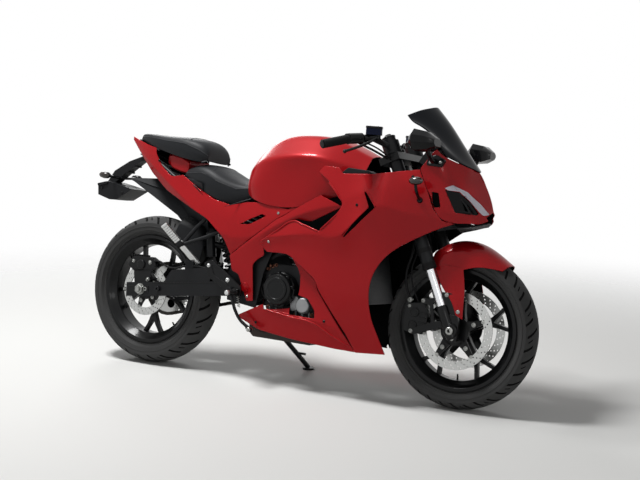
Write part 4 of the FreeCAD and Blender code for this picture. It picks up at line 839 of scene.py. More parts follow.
class BIKE_OT_panel_trim(Builder, Operator):
    """Screws, plugs, rolled edges and dark liners of the side panels"""
    bl_idname = "bike.panel_trim"
    bl_label = "Panel trim"

    def build(self, sizes):
        bright = {"fairing": [(647, 557)], "tail": [(658, 670)], "frame_cover": [(541, 333)]}
        dark = {"fairing": [(1031, 722), (1225, 840)], "tail": [(20, 872)], "belly": [(590, 236), (906, 275)]}
        heads = [[bolt(*on_skin(panel, x, z), 5.5, washer=False) for panel, at in places.items() for x, z in at]
                 for places in (bright, dark)]
        add_piece("panel_screws", both(layered(*heads)), "chassis", ["zinc_plated_steel", "gloss_abs"], bevel=0.3)
        at, normal = on_skin("frame_cover", 527, 369)
        plug = lathed([(-1, 18), (1.6, 18), (2.4, 17), (2.4, 14.5), (1.0, 13.8), (1.0, 12.6), (2.6, 12),
                       (2.9, 6)], at, normal)
        add_piece("pivot_plugs", both(plug), "chassis", ["candy_red_lacquer"])
        lips = [
            ("fairing", [(612, 556), (680, 600), (752, 644), (800, 634), (872, 614)], 3.2),
            ("fairing", [(886, 620), (925, 658), (958, 698), (966, 724), (952, 744), (890, 800)], 3.2),
            ("fairing", [(985, 610), (1030, 655), (1078, 706)], 2.6),
            ("fairing", [(1112, 722), (1066, 770), (1054, 778)], 2.6),
            ("belly", [(640, 292), (748, 276), (862, 262), (945, 222), (1008, 196)], 3.4),
        ]
        edges = [hose([at + normal * 0.3 for at, normal in (on_skin(panel, x, z) for x, z in path)], radius)
                 for panel, path, radius in lips]
        add_tube("rolled_edges", both(joined(*edges)), "chassis", "candy_red_lacquer")
        liners = [
            prism([(700, 560), (960, 600), (1130, 600), (1130, 800), (1060, 790), (960, 745), (840, 745), (700, 640)],
                  -133, -130, 10),
            prism([(836, 450), (860, 376), (976, 224), (1036, 196), (1060, 420), (1000, 520), (860, 520)],
                  -138, -136, 10),
            prism([(585, 480), (640, 540), (700, 500), (720, 470), (640, 474), (590, 440)], -112, -110, 5),
            prism([(452, 496), (470, 524), (560, 588), (620, 630), (640, 622), (560, 564), (478, 500)],
                  -124, -121, 4),
            prism([(1000, 172), (1034, 176), (1046, 200), (1030, 250), (990, 270), (986, 236)], -136, -134, 3),
        ]
        add_piece("fairing_liners", both(joined(*liners)), "chassis", ["raw_abs"])
        strip = prism([(932, 836), (1066, 842), (1046, 853), (962, 860)], -171, -122, 4)
        add_piece("tank_edge_strips", both(strip), "chassis", ["grained_abs"], bevel=2)


class BIKE_OT_lamps(Builder, Operator):
    """Headlamp lenses, running-light strips and the dark slit plates"""
    bl_idname = "bike.lamps"
    bl_label = "Front lamps"

    def build(self, sizes):
        table = (
            ("lamp_lenses", [(1340, 803), (1394, 797), (1430, 764), (1456, 722), (1449, 713), (1382, 716)], 4.5,
             "smoked_polycarbonate"),
            ("running_light_strips", [(1342, 806), (1368, 819), (1415, 798), (1456, 758), (1482, 723), (1467, 717),
                                      (1455, 728), (1427, 765), (1394, 797), (1356, 799)], -1.4,
             "milky_polycarbonate"),
            ("slit_plates", [(1292, 796), (1328, 792), (1338, 730), (1306, 726), (1296, 750)], 9, "raw_abs"),
        )
        for name, outline, depth, material in table:
            moved = [[(x - 0.5 * depth, max(h - depth, 0), z) for x, h, z in row] for row in NOSE_ROWS]
            skin = sheet(right_half(moved), NOSE_CREASES, NOSE_OUT)
            add_wall(skin, 2.5, 0)
            bm = cut_sheet(skin, outline, [], 2, (-300, -8))
            add_piece(name, both(bm), "chassis", [material], bevel=0.4)
        outline = [(1310, 762), (1345, 792), (1385, 786), (1420, 752), (1440, 722), (1384, 726), (1330, 732)]
        hollow = [(1322, 762), (1347, 786), (1384, 780), (1414, 748), (1430, 727), (1384, 731), (1338, 738)]
        bucket = cut_by(prism(outline, -104, -30, 3), prism(hollow, -140, -46, 3))
        arm = prism([(1280, 780), (1320, 760), (1330, 780), (1290, 800)], -34, -14, 2)
        cells, eyes = [], []
        for x, z, r in ((1394, 753, 19), (1355, 762, 16)):
            facing = (0.55, -0.83, 0.05)
            cells.append(turned([(-16, CORE), (-15, 6), (0, r), (3, r + 1), (3, r - 1.5), (-11, 4)], (x, -84, z),
                                facing, 32))
            eyes.append(turned([(-10, CORE), (-6, r * 0.6), (0, r * 0.5), (4, r * 0.25), (5, CORE)], (x, -84, z),
                               facing, 32))
        piece = layered([bucket, arm], cells, eyes)
        add_piece("lamp_buckets", both(piece), "chassis", ["gloss_abs", "cast_aluminium", "display_glass"],
                  ["headlights"], 0.6)


BLOCK_STEPS = 10            # steps of the tread in each block
GROOVES = (
    # steps of the left half in two blocks, then the groove's start and end as shares of the half width
    ((0, 1), 0.16, 0.9), ((10, 11), 0.5, 0.98), ((5,), 0.62, 0.86),
)


class BIKE_OT_tyres(Builder, Operator):
    """Tyres with slanted rain grooves"""
    bl_idname = "bike.tyres"
    bl_label = "Tyres"

    def build(self, sizes):
        deep = sizes.tread / MM
        table = (
            # body, node, centre, radius, half width, crown drop, half rim, blocks round the tyre, slant
            ("front_wheel", "front_tyre", FRONT_AXLE, FRONT_R, 55, 26, 46, 36, 0.16),
            ("rear_wheel", "rear_tyre", REAR_AXLE, REAR_R, 70, 32, 58, 30, 0.20),
        )
        for body, node, centre, radius, half, drop, rim_half, blocks, slant in table:
            crown = (half * half + drop * drop) / (2 * drop)
            shares = [k / 12 for k in range(-12, 13)]
            tread = [(half * s, radius - crown + math.sqrt(crown * crown - (half * s) ** 2)) for s in shares]
            wall = [(half + 0.3, radius - drop - 5), (half - 0.5, radius - drop - 14), (half - 2.5, 247),
                    (rim_half + 1.5, 240), (rim_half - 1.5, 238), (rim_half - 2, 234), (rim_half - 6.5, 230),
                    (rim_half - 8, 217)]
            profile = tread + wall + [(-y, r) for y, r in reversed(wall)]
            bm = bmesh.new()
            ring = []
            for y, r in profile:
                turn = slant * min(1, abs(y) / half)
                ring.append(bm.verts.new((r * math.cos(turn), r * math.sin(turn), y)))
            edges = [bm.edges.new((ring[k - 1], ring[k])) for k in range(len(ring))]
            steps = blocks * BLOCK_STEPS
            bmesh.ops.spin(bm, geom=edges, cent=(0, 0, 0), axis=(0, 0, 1), angle=2 * math.pi, steps=steps,
                           use_merge=True, use_duplicate=False)
            bmesh.ops.recalc_face_normals(bm, faces=bm.faces)
            grooves = []
            for face in bm.faces:
                c = face.calc_center_median()
                r = math.hypot(c.x, c.y)
                share = abs(c.z) / half
                if r < radius - drop + 1 or share > 1:
                    continue
                step = round((math.atan2(c.y, c.x) - slant * share) / (2 * math.pi) * steps - 0.5)
                step = (step - (0 if c.z > 0 else BLOCK_STEPS)) % (2 * BLOCK_STEPS)
                if any(step in at and low < share < high for at, low, high in GROOVES):
                    grooves.append(face)
            cut = bmesh.ops.extrude_face_region(bm, geom=grooves)
            floor = [v for v in cut["geom"] if isinstance(v, bmesh.types.BMVert)]
            # groove floors and walls take the second, near-black rubber: painted shade in the grooves
            for face in {f for v in floor for f in v.link_faces}:
                face.material_index = 1
            bmesh.ops.delete(bm, geom=grooves, context="FACES")
            shrink = 1 - deep / radius
            bmesh.ops.scale(bm, vec=(shrink, shrink, 1), verts=floor)
            bm.transform(Matrix.Translation(centre) @ Matrix.Rotation(-math.pi / 2, 4, "X"))
            bands = [wheel_part([(s * (half - 0.6), radius - drop - 16), (s * (half + 0.9), radius - drop - 15),
                                 (s * (half + 0.9), radius - drop - 13.6), (s * (half - 0.6), radius - drop - 12.6)],
                                centre, 120) for s in (-1, 1)]
            add_piece(node + "_tread", joined(bm, *bands), body, ["tyre_rubber", "groove_shade_rubber"], [node],
                      smooth=32)


SPOKES = 5
DISC_ARMS = 5


class BIKE_OT_rims(Builder, Operator):
    """Five-spoke cast rims with hubs and valves"""
    bl_idname = "bike.rims"
    bl_label = "Rims"

    def build(self, sizes):
        spoke = [(22, -19), (60, -11.5), (104, -9.5), (150, -28), (191, -53), (191, -37), (152, -13), (131, 0, 4),
                 (152, 13), (191, 37), (191, 53), (150, 28), (104, 9.5), (60, 11.5), (22, 19)]
        for body, node, centre, half, right, left, turn in (
                ("front_wheel", "front_rim", FRONT_AXLE, 46, 63, 63, 54),
                ("rear_wheel", "rear_rim", REAR_AXLE, 58, 77, 80, 18)):
            outer = [(half - 34, 194), (half - 24, 198), (half - 20, 213), (half - 9, 215), (half - 7, 226),
                     (half - 5, 228.5), (half - 1.5, 228.5), (half, 226), (half - 0.5, 214), (half - 8, 207),
                     (half - 16, 200), (half - 27, 187)]
            barrel = wheel_part(outer + [(-y, r) for y, r in reversed(outer)], centre)
            hub = wheel_part([(-right, 13), (-right, 27), (-right + 6, 30), (-24, 33), (24, 33), (left - 6, 30),
                              (left, 27), (left, 13)], centre, 64)
            parts = [barrel, hub]
            for k in range(SPOKES):
                arm = joined(prism(spoke, -11.5, 11.5, 5),
                             prism([(30, -5), (112, -3), (118, 0), (112, 3), (30, 5)], -14, 14, 2))
                spin = Matrix.Rotation(math.radians(turn) + turns(k, SPOKES), 4, "Y")
                arm.transform(Matrix.Translation(centre) @ spin)
                parts.append(arm)
            a = math.radians(turn) + turns(0.5, SPOKES)
            parts.append(rod(around(centre, 190, -a), around(centre, 164, -a, -4), 4, 3, 12))
            add_piece(node + "_cast", joined(*parts), body, ["powder_coated_alloy"], [node], 2.2, 3)


def brake_disc(centre, y, radius, inner, count, carrier, bolt_r, first):
    """A drilled ring on a black carrier, with bolts and rivets on its outer face. first is the first arm's angle."""
    track = wheel_part([(-2.5, inner), (-2.5, radius), (2.5, radius), (2.5, inner)], (0, 0, 0), 180)
    drills = bmesh.new()
    for row, share in enumerate((0.2, 0.5, 0.8)):
        r = inner + (radius - inner) * share
        for k in range(count):
            place = Matrix.Translation(around((0, 0, 0), r, turns(k + row / 3, count)))
            bmesh.ops.create_cone(drills, cap_ends=True, segments=12, radius1=2.9, radius2=2.9, depth=16,
                                  matrix=place @ Matrix.Rotation(math.pi / 2, 4, "X"))
    ring = cut_by(track, drills)
    spider = [wheel_part([(-2.2, 19), (-2.2, carrier), (2.2, carrier), (2.2, 19)], (0, 0, 0), 72)]
    buttons = []
    for k in range(DISC_ARMS):
        turn = Matrix.Rotation(-math.radians(first) - turns(k, DISC_ARMS), 4, "Y")
        arm = prism([(carrier - 8, -19), (bolt_r + 2, -13), (inner - 8, -10), (inner + 6, -8), (inner + 6, 8),
                     (inner - 8, 10), (bolt_r + 2, 13), (carrier - 8, 19)], -2.2, 2.2, 3)
        boss = lathed([(-2, 12), (4, 12), (5, 11)], (bolt_r, 0, 0), OUT, 24)
        button = lathed([(-1, 6.5), (3.4, 6.5), (4.2, 5.4), (4.2, 3), (3, 2.6)], (inner + 1, 0, 0), OUT, 20)
        head = bolt((bolt_r, -5, 0), OUT, 6.5, 5)
        for part in (arm, boss, button, head):
            part.transform(turn)
        spider += [arm, boss]
        buttons += [button, head]
    whole = layered([ring], spider, buttons)
    whole.transform(Matrix.Translation(centre + Vector((0, y, 0))))
    return whole


class BIKE_OT_brakes(Builder, Operator):
    """Drilled brake discs, calipers and hoses"""
    bl_idname = "bike.brakes"
    bl_label = "Brakes"

    def build(self, sizes):
        metals = ["ground_stainless", "powder_coated_alloy", "zinc_plated_steel"]
        front = brake_disc(FRONT_AXLE, -FRONT_DISC_Y, radius=145, inner=113, count=30, carrier=56, bolt_r=78,
                           first=21)
        add_piece("front_brake_discs", both(front), "front_wheel", metals, ["front_discs"])
        rear = brake_disc(REAR_AXLE, -REAR_DISC_Y, radius=110, inner=78, count=26, carrier=44, bolt_r=52, first=36)
        add_piece("rear_brake_disc", rear, "rear_wheel", metals, ["rear_disc"])

        outer = prism([(1204, 272), (1286, 264), (1298, 330), (1280, 384), (1216, 376), (1199, 322)], -91, -72.5, 12)
        inner = prism([(1210, 278), (1280, 270), (1288, 330), (1272, 376), (1220, 368), (1205, 322)], -59.5, -45, 12)
        bridge = prism([(1199, 282), (1240, 272), (1246, 322), (1240, 366), (1206, 368), (1197, 322)], -86, -50, 8)
        caps = [lathed([(0, 17), (4, 17), (5.5, 14), (5.5, 10), (4, 9)], (x, -90.5, z), OUT, 28)
                for x, z in ((1240, 296), (1246, 344))]
        ribs = [prism([(1262, 288 + z), (1290, 286 + z), (1291, 292 + z), (1262, 294 + z)], -94, -90)
                for z in (18 * k for k in range(4))]
        bracket = prism([(1232, 268), (1244, 262), (1332, 290), (1378, 302), (1372, 330), (1330, 318), (1318, 384),
                         (1352, 398), (1346, 412), (1270, 394), (1276, 380), (1306, 376), (1316, 314), (1236, 284)],
                        -101, -92, 5)
        pins = [bolt((x, y, z), OUT, r) for x, y, z, r in
                ((1238, -101, 275, 6), (1280, -101, 391, 6), (1222, -91, 366, 5), (1290, -91, 272, 5))]
        banjo = [puck((1222, -84, 388), OUT, 9, -7, 7, 20), bolt((1222, -91, 388), OUT, 7)]
        metal = ["powder_coated_alloy", "zinc_plated_steel"]
        body = [outer, inner, bridge, bracket, *caps, *ribs]
        add_piece("front_brake_calipers", both(layered(body, pins + banjo)), "steering", metal, ["front_calipers"],
                  1.4)
        lines = [hose([(1222, -84, 388), (1204, -88, 430), (1197, -84, 490), (1212, -80, 560), (1206, -62, 640),
                       (1176, -40, 716)], 4.6),
                 hose([(1250, -78, 384), (1226, -84, 440), (1214, -78, 500), (1226, -72, 560), (1214, -52, 640)],
                      2.8)]
        add_tube("front_brake_hoses", both(joined(*lines)), "steering")

        half = [(-48, 380), (38, 386), (63, 418), (32, 446), (-60, 444), (-84, 405)]
        halves = [prism(half, -103, -84.5, 10), prism(half, -75.5, -63, 10)]
        top = prism([(-60, 424), (50, 424), (60, 430), (32, 445), (-58, 443), (-70, 432)], -100, -66, 4)
        cap = lathed([(0, 20), (5, 20), (7, 17)], (-14, -103, 412), OUT, 28)
        fins = [prism([(x, 440), (x + 6, 440), (x + 6, 452), (x, 452)], -98, -70) for x in range(-72, 12, 12)]
        plate = prism([(-44, 332), (34, 338), (42, 396), (-52, 392)], -103, -97, 8)
        bits = [bolt((30, -103, 424), OUT, 7), bolt((-56, -103, 424), OUT, 6), bolt((24, -103, 352), OUT, 7)]
        add_piece("rear_brake_caliper", layered([*halves, top, cap, plate, *fins], bits), "chassis", metal,
                  ["rear_caliper"], 1.4)
        line = hose([(40, -96, 430), (80, -104, 432), (130, -106, 412), (250, -108, 428), (340, -108, 420),
                     (420, -118, 400)], 4)
        add_tube("rear_brake_hose", line, "chassis")


def hex_nut(at, direction, radius, height):
    """A chamfered hexagon nut."""
    return turned([(0, radius * 0.55), (0, radius * 0.94), (height * 0.12, radius), (height * 0.88, radius),
                   (height, radius * 0.94), (height, radius * 0.55)], at, direction, 6)


class BIKE_OT_fork(Builder, Operator):
    """Chrome fork legs with feet, seals and caps, and the front axle's ends"""
    bl_idname = "bike.fork"
    bl_label = "Fork"

    def build(self, sizes):
        y = -FORK_SPREAD
        leg = rod(fork_point(88, y), fork_point(262, y), 17, segments=48)
        add_piece("fork_legs", both(leg), "steering", ["hard_chrome"], smooth=40)
        seal = turned([(236, 17.2), (236, 22), (240, 26), (258, 26.5), (262, 25.4), (262, 17.2)], fork_point(0, y),
                      STEER_UP)
        rings = turned([(300, 25), (300, 26.4), (318, 26.4), (318, 25)], fork_point(0, y), STEER_UP)
        add_piece("fork_seals", both(joined(seal, rings)), "steering", ["black_rubber_hose"], smooth=40)
        foot = lathed([(-32, 15), (-26, 21), (40, 21.8), (70, 22), (86, 22), (95, 19.5), (97, 17.4)],
                      fork_point(0, y), STEER_UP)
        boss = wheel_part([(-17, 11), (-17, 25), (-14, 27), (12, 27), (14, 25), (14, 11)],
                          FRONT_AXLE + Vector((0, y, 0)), 48)
        lug = prism([(1352, 350), (1420, 340), (1412, 372), (1396, 428), (1335, 430)], -103, -94, 8)
        web = prism([(1386, 270), (1424, 268), (1428, 320), (1420, 350), (1352, 352), (1366, 300)], -108, -92, 8)
        pinch = prism([(1392, 252), (1424, 256), (1426, 276), (1394, 274)], -112, -88, 3)
        add_piece("fork_feet", both(joined(foot, boss, lug, web, pinch)), "steering", ["powder_coated_alloy"],
                  ["fork_sliders"], 1.5)
        bar = wheel_part([(-118, CORE), (-118, 10), (118, 10), (118, CORE)], FRONT_AXLE, 32)
        end = lathed([(0, 13), (3, 14.5), (6, 14.5), (8, 12), (8, 7), (3, 6)],
                     FRONT_AXLE + Vector((0, y - 17, 0)), OUT, 36)
        spacers = wheel_part([(y + 20, 11), (y + 20, 17), (-69, 17), (-69, 11)], FRONT_AXLE, 36)
        bolts = [bolt((1373, -107, 421), OUT, 6), bolt((1421, -107.5, 364), OUT, 6), bolt((1408, -112, 264), OUT, 5)]
        add_piece("front_axle_ends", joined(bar, both(joined(end, spacers, *bolts))), "steering",
                  ["zinc_plated_steel"], ["front_axle"], 0.4)
        caps = turned([(0, 25), (0, 26), (4, 26), (6, 23), (6, 14), (12, 13), (14, 11), (14, CORE), (0, CORE)],
                      fork_point(755, y), STEER_UP)
        nut = hex_nut(STEER_BASE + STEER_UP * 690, STEER_UP, 18, 14)
        add_piece("fork_caps", joined(both(caps), nut), "steering", ["powder_coated_alloy"], bevel=0.4)


GRIP_RIBS = 22


class BIKE_OT_controls(Builder, Operator):
    """Grips, switches, levers, reservoirs, cables and the dials"""
    bl_idname = "bike.controls"
    bl_label = "Hand controls"

    def build(self, sizes):
        root, bend, end = Vector((1050, 165, 974)), Vector((990, 240, 962)), Vector((938, 345, 930))
        out, inner = (end - bend).normalized(), (bend - root).normalized()
        length = (end - bend).length
        profile = [(2, 11.2), (2, 20), (5, 20.5), (7, 17)]
        for k in range(GRIP_RIBS):
            s = 9 + k * (length - 18) / GRIP_RIBS
            profile += [(s, 15.6), (s + 1.4, 16.6), (s + 2.8, 16.6), (s + 4, 15.6)]
        profile += [(length - 6, 16.8), (length - 4, 16.8), (length - 4, 11.2)]
        grip = turned(profile, bend, out, 32)
        add_piece("ribbed_grips", both(grip), "steering", ["grip_rubber"], ["grips"], smooth=50)

        ahead = inner.cross(Vector((0.1, 0, 1))).normalized()
        up = ahead.cross(inner)
        blocks = [
            lathed([(length - 5, 14), (length - 1, 14), (length, 11)], bend, out, 32),
            sketch([(-21, -17), (17, -19), (23, -6), (21, 14), (6, 21), (-16, 19), (-23, 4)], 5,
                   (bend - root).length - 42, root + inner * 42, ahead, up),
            sketch([(-19, -12), (19, -14), (26, 0), (16, 14), (-16, 14)], 4, 18, root + inner * 21, ahead, up),
        ]
        for k in range(3):
            at = root + inner * (52 + 9 * k) - ahead * 20 + up * 6
            blocks.append(rod(at, at - ahead * 6, 3.6, 3, 12))
        perch, pivot, cup = root + inner * 30, Vector((1082, 180, 978)), Vector((1062, 178, 984))
        blocks += [rod(perch, pivot, 11, 10), rod(perch, cup, 8), puck(pivot, UP, 9, -10, 9)]
        add_piece("switch_blocks", both(joined(*blocks)), "steering", ["gloss_abs"], ["hand_controls"],
                  1.0)
        lever = hose([pivot, (1084, 205, 969), (1068, 250, 945), (1046, 296, 924), (1030, 331, 910)], 5.2)
        knob = bmesh.new()
        bmesh.ops.create_uvsphere(knob, u_segments=20, v_segments=12, radius=7.5,
                                  matrix=Matrix.Translation((1029, 334, 909)))
        add_piece("hand_levers", both(joined(lever, knob)), "steering", ["powder_coated_alloy"], smooth=60)
        square = [(-29, -19), (29, -19), (31, -8), (31, 8), (29, 19), (-29, 19)]
        long, wide = Vector((0.93, -0.37, 0)), Vector((-0.37, -0.93, 0))
        cups = sketch(square, 5, 24, cup, long, wide)
        lid = sketch([(x * 1.04, z * 1.04) for x, z in square], 5, 8, cup + Vector((0, 0, 24)), long, wide)
        screws = [bolt(cup + Vector((x, y, 32)), UP, 3, washer=False) for x, y in ((-14, 4), (14, -4))]
        add_piece("fluid_cups", both(layered([cups], [lid], screws)), "steering",
                  ["display_glass", "gloss_abs", "zinc_plated_steel"], bevel=1.2, segments=3)
        cables = [
            hose([root + inner * 60 - up * 14, (1085, 150, 915), (1120, 105, 885), (1136, 50, 830)], 4.4),
            hose([pivot, (1100, 150, 950), (1126, 95, 905), (1138, 38, 845)], 3.4),
            hose([root + inner * 70 + ahead * 16, (1090, 170, 930), (1122, 120, 890), (1142, 70, 840)], 3),
            hose([perch, (1095, 140, 955), (1118, 100, 915), (1134, 50, 850)], 4),
        ]
        add_tube("control_cables", both(joined(*cables)), "steering")

        shell = prism([(1196, 900), (1222, 887), (1276, 962), (1270, 974), (1250, 982)], -58, 58, 5)
        glass = prism([(1199.5, 908), (1203, 905), (1251, 975), (1247.5, 978)], -50, 50, 1)
        # the round back shell is given bright cast aluminium: a painted reflection, a silver patch standing in for
        # sky reflected on the dark dial housing
        back = turned([(0, CORE), (0, 46), (6, 44), (16, 34), (22, 18), (23, CORE)], (1258, 0, 932), (0.81, 0, -0.58))
        add_piece("dial_housing", layered([shell], [glass], [back]), "chassis",
                  ["gloss_abs", "display_glass", "cast_aluminium"], ["instrument"], 1.5)


MIRROR = [
    # x, then half height and span across, and the middle's height
    (1268, 22, (240, 318), 962), (1284, 38, (222, 338), 964), (1330, 32, (226, 330), 962),
    (1362, 14, (244, 306), 958),
]


class BIKE_OT_mirrors(Builder, Operator):
    """Faceted mirror pods on short arms, and the direction lamps"""
    bl_idname = "bike.mirrors"
    bl_label = "Mirrors and direction lamps"

    def build(self, sizes):
        sections = []
        for x, up, (near, far), z in MIRROR:
            cut = (far - near) * 0.22
            sections.append([(x, y, z + up * share) for y, share in
                             ((-near, -1), (-far + cut, -1), (-far, -0.3), (-far, 0.4), (-far + cut, 1),
                              (-near - cut, 1), (-near, 0.4))])
        pod = loft(sections)
        middle = Vector((1266, -280, 962))
        glass_edge = [(1264.6, middle.y + (y - middle.y) * 0.88, middle.z + (z - middle.z) * 0.86)
                      for _, y, z in sections[0]]
        glass = loft([glass_edge, [(x + 5, y, z) for x, y, z in glass_edge]])
        arm = hose([(1300, -134, 906), (1306, -178, 899), (1311, -215, 914), (1312, -248, 940)], 9)
        base = prism([(1270, 884), (1330, 880), (1344, 905), (1310, 924), (1276, 916)], -152, -136, 6)
        screws = [bolt((1286, -152, 896), OUT, 5), bolt((1326, -152, 898), OUT, 5)]
        add_piece("mirror_pods", both(layered([pod, arm, base], [glass], screws)), "chassis",
                  ["gloss_abs", "mirror_glass", "zinc_plated_steel"], ["mirrors"], 1.8)
        at, normal = on_skin("fairing", 1262, 756)
        lamps = [lathed([(-2, 11), (3, 11), (7, 7)], at, normal, 28)]
        lenses = []
        shape = [(-24, CORE), (-22, 7), (-12, 13.5), (6, 15), (20, 12.5), (27, 7), (28, CORE)]
        lens = [(a + 1.4, r * 0.93) for a, r in shape]
        for stalk, end, ahead in (([at, (1270, -218, 786), (1272, -236, 812)], Vector((1272, -240, 822)), 1),
                                  ([(-228, -22, 770), (-230, -60, 772), (-232, -98, 775)],
                                   Vector((-234, -108, 776)), -1)):
            facing = (ahead, 0, 0.05)
            lamps += [hose(stalk, 6), turned(shape, end, facing, 32)]
            lenses.append(turned(lens, end + Vector((ahead, -3, 0)), facing, 32))
        add_piece("direction_lamps", both(layered(lamps, lenses)), "chassis", ["gloss_abs", "smoked_lens"],
                  ["turn_signals"], smooth=45)


RIDER_SEAT = [
    # x, half width, crown height, edge height, underside
    (170, 88, 826, 806, 776), (262, 112, 848, 810, 742), (350, 118, 818, 776, 706), (430, 104, 788, 752, 692),
    (500, 84, 782, 760, 712), (552, 66, 786, 772, 738),
]
PILLION_SEAT = [
    (-105, 40, 964, 950, 930), (-40, 66, 966, 948, 914), (60, 88, 960, 936, 888), (160, 100, 956, 926, 866),
    (235, 98, 940, 900, 856), (266, 84, 905, 880, 858),
]


SEAM_POINTS = 26            # along each side of a pad


class BIKE_OT_seats(Builder, Operator):
    """Stitched seat pads"""
    bl_idname = "bike.seats"
    bl_label = "Seats"

    def build(self, sizes):
        for name, node, table, fill in (("rider_pad", "rider_seat", RIDER_SEAT, 0.8),
                                        ("pillion_pad", "pillion_seat", PILLION_SEAT, 0.85)):
            rows = [[(x, 0, crown), (x, half * 0.5, crown - 2), (x, half * 0.86, (crown + edge) / 2 + 3),
                     (x, half - 1, edge), (x, half, (edge + low) / 2 + 2), (x, half - 6, low)]
                    for x, half, crown, edge, low in table]
            ends = [[(x, h * 0.92, row[-1][2]) for x, h, _ in row] for row in (rows[0], rows[-1])]
            rows = [ends[0], *rows, ends[1]]
            skin = sheet(full_width(rows), [("column", 2, 0.55), ("column", 8, 0.55), ("column", 0, 1.0),
                                            ("column", 10, 1.0)], UP, 4)
            add_wall(skin, 6, 0)
            pad = baked(skin)
            surface = BVHTree.FromBMesh(pad)
            seams = []
            for side in (-1, 1):
                path = [(x, side * (half * 0.985), edge + 1.0) for x, half, crown, edge, low in table]
                near = [surface.find_nearest(q) for q in resample(path, SEAM_POINTS)]
                seams.append(hose([hit[0] + hit[1] * 0.4 for hit in near], 1.5))
            across = []
            x = table[3][0] if name == "pillion_pad" else table[1][0] + 30
            for share in (k / 6 for k in range(-6, 7)):
                y = share * table[3][1] * 0.93
                hit = surface.ray_cast(Vector((x + abs(y) * 0.18, y, ABOVE)), Vector((0, 0, -1)))
                if hit[0]:
                    across.append(hit[0] + hit[1] * 0.3)
            seams.append(hose(across, 1.3))
            piece = add_piece(name, pad, "chassis", ["seat_leather"], [node], smooth=60)
            add_tube(name + "_piping", joined(*seams), "chassis", "seat_thread")


CHAIN_PITCH = 15.875
REAR_TEETH, FRONT_TEETH = 43, 14
FRONT_SPROCKET = Vector((545, 0, 372))


def pitch_radius(teeth):
    """The radius at which the chain's pins lie round a sprocket."""
    return CHAIN_PITCH / (2 * math.sin(math.pi / teeth))


def toothed(teeth, thickness, holes):
    """A sprocket with rounded teeth about the y axis, in outline."""
    r = pitch_radius(teeth)
    points = []
    for k in range(teeth):
        for share, reach in ((-0.5, -4.4), (-0.27, -3.2), (-0.1, 4.2), (0.1, 4.2), (0.27, -3.2)):
            a = turns(k + share, teeth)
            points.append(((r + reach) * math.cos(a), (r + reach) * math.sin(a), 0))
    wheel = prism(points, -thickness / 2, thickness / 2)
    drills = [rod(around((0, 0, 0), d, turns(k, count), -20), around((0, 0, 0), d, turns(k, count), 20), size,
                  segments=32) for count, d, size in holes for k in range(count)]
    return cut_by(wheel, joined(*drills))


class BIKE_OT_drive(Builder, Operator):
    """Roller chain and the toothed rear sprocket"""
    bl_idname = "bike.drive"
    bl_label = "Final drive"

    def build(self, sizes):
        ra, rb = pitch_radius(REAR_TEETH), pitch_radius(FRONT_TEETH)
        gap = FRONT_SPROCKET - REAR_AXLE
        base = math.atan2(gap.z, gap.x)
        lean = math.acos((ra - rb) / gap.length)

        line = [around(REAR_AXLE, ra, base + lean)]
        line += [around(FRONT_SPROCKET, rb, base + lean - 2 * lean * k / 12) for k in range(13)]
        line += [around(REAR_AXLE, ra, base - lean - (2 * math.pi - 2 * lean) * k / 40) for k in range(41)]
        total = sum((b - a).length for a, b in zip(line, line[1:]))
        links = round(total / CHAIN_PITCH / 2) * 2
        pins = resample(line, links + 1)[:-1]
        plates, rollers, oval = [], [], []
        waist = 6.9
        for k in range(24):
            a = turns(k, 24)
            end = CHAIN_PITCH / 2 * (1 if math.cos(a) > 0 else -1)
            oval.append((end + waist * math.cos(a), waist * math.sin(a), 0))
        for k, p in enumerate(pins):
            q = pins[(k + 1) % links]
            turn = Matrix.Rotation(-math.atan2(q.z - p.z, q.x - p.x), 4, "Y")
            y = 5.6 if k % 2 else 4.0
            for side in (-1, 1):
                plate = prism(oval, side * y - 0.8, side * y + 0.8)
                plate.transform(Matrix.Translation((p + q) / 2 + Vector((0, CHAIN_Y, 0))) @ turn)
                plates.append(plate)
            rollers.append(rod(p + Vector((0, CHAIN_Y - 6.8, 0)), p + Vector((0, CHAIN_Y + 6.8, 0)), 4.4,
                               segments=12))
        add_piece("roller_chain", joined(*plates, *rollers), "chassis", ["oiled_chain_steel"], ["drive_chain"],
                  smooth=40)
        rear = toothed(REAR_TEETH, 5, ((5, 66, 19), (5, 44, 4), (1, 0, 18)))
        rear.transform(Matrix.Translation(REAR_AXLE + Vector((0, CHAIN_Y, 0))))
        nuts = [hex_nut(around(REAR_AXLE, 44, turns(k + 0.5, 5), CHAIN_Y + 2.5), (0, 1, 0), 8, 6) for k in range(5)]
        add_piece("rear_sprocket_wheel", joined(rear, *nuts), "rear_wheel", ["ground_stainless"], ["rear_sprocket"],
                  0.5)


FINS, FIN_PITCH = 46, 5.2   # of the radiator
CYLINDER_LEAN = 0.318       # forward for each millimetre of height
COVER_SCREWS = 9


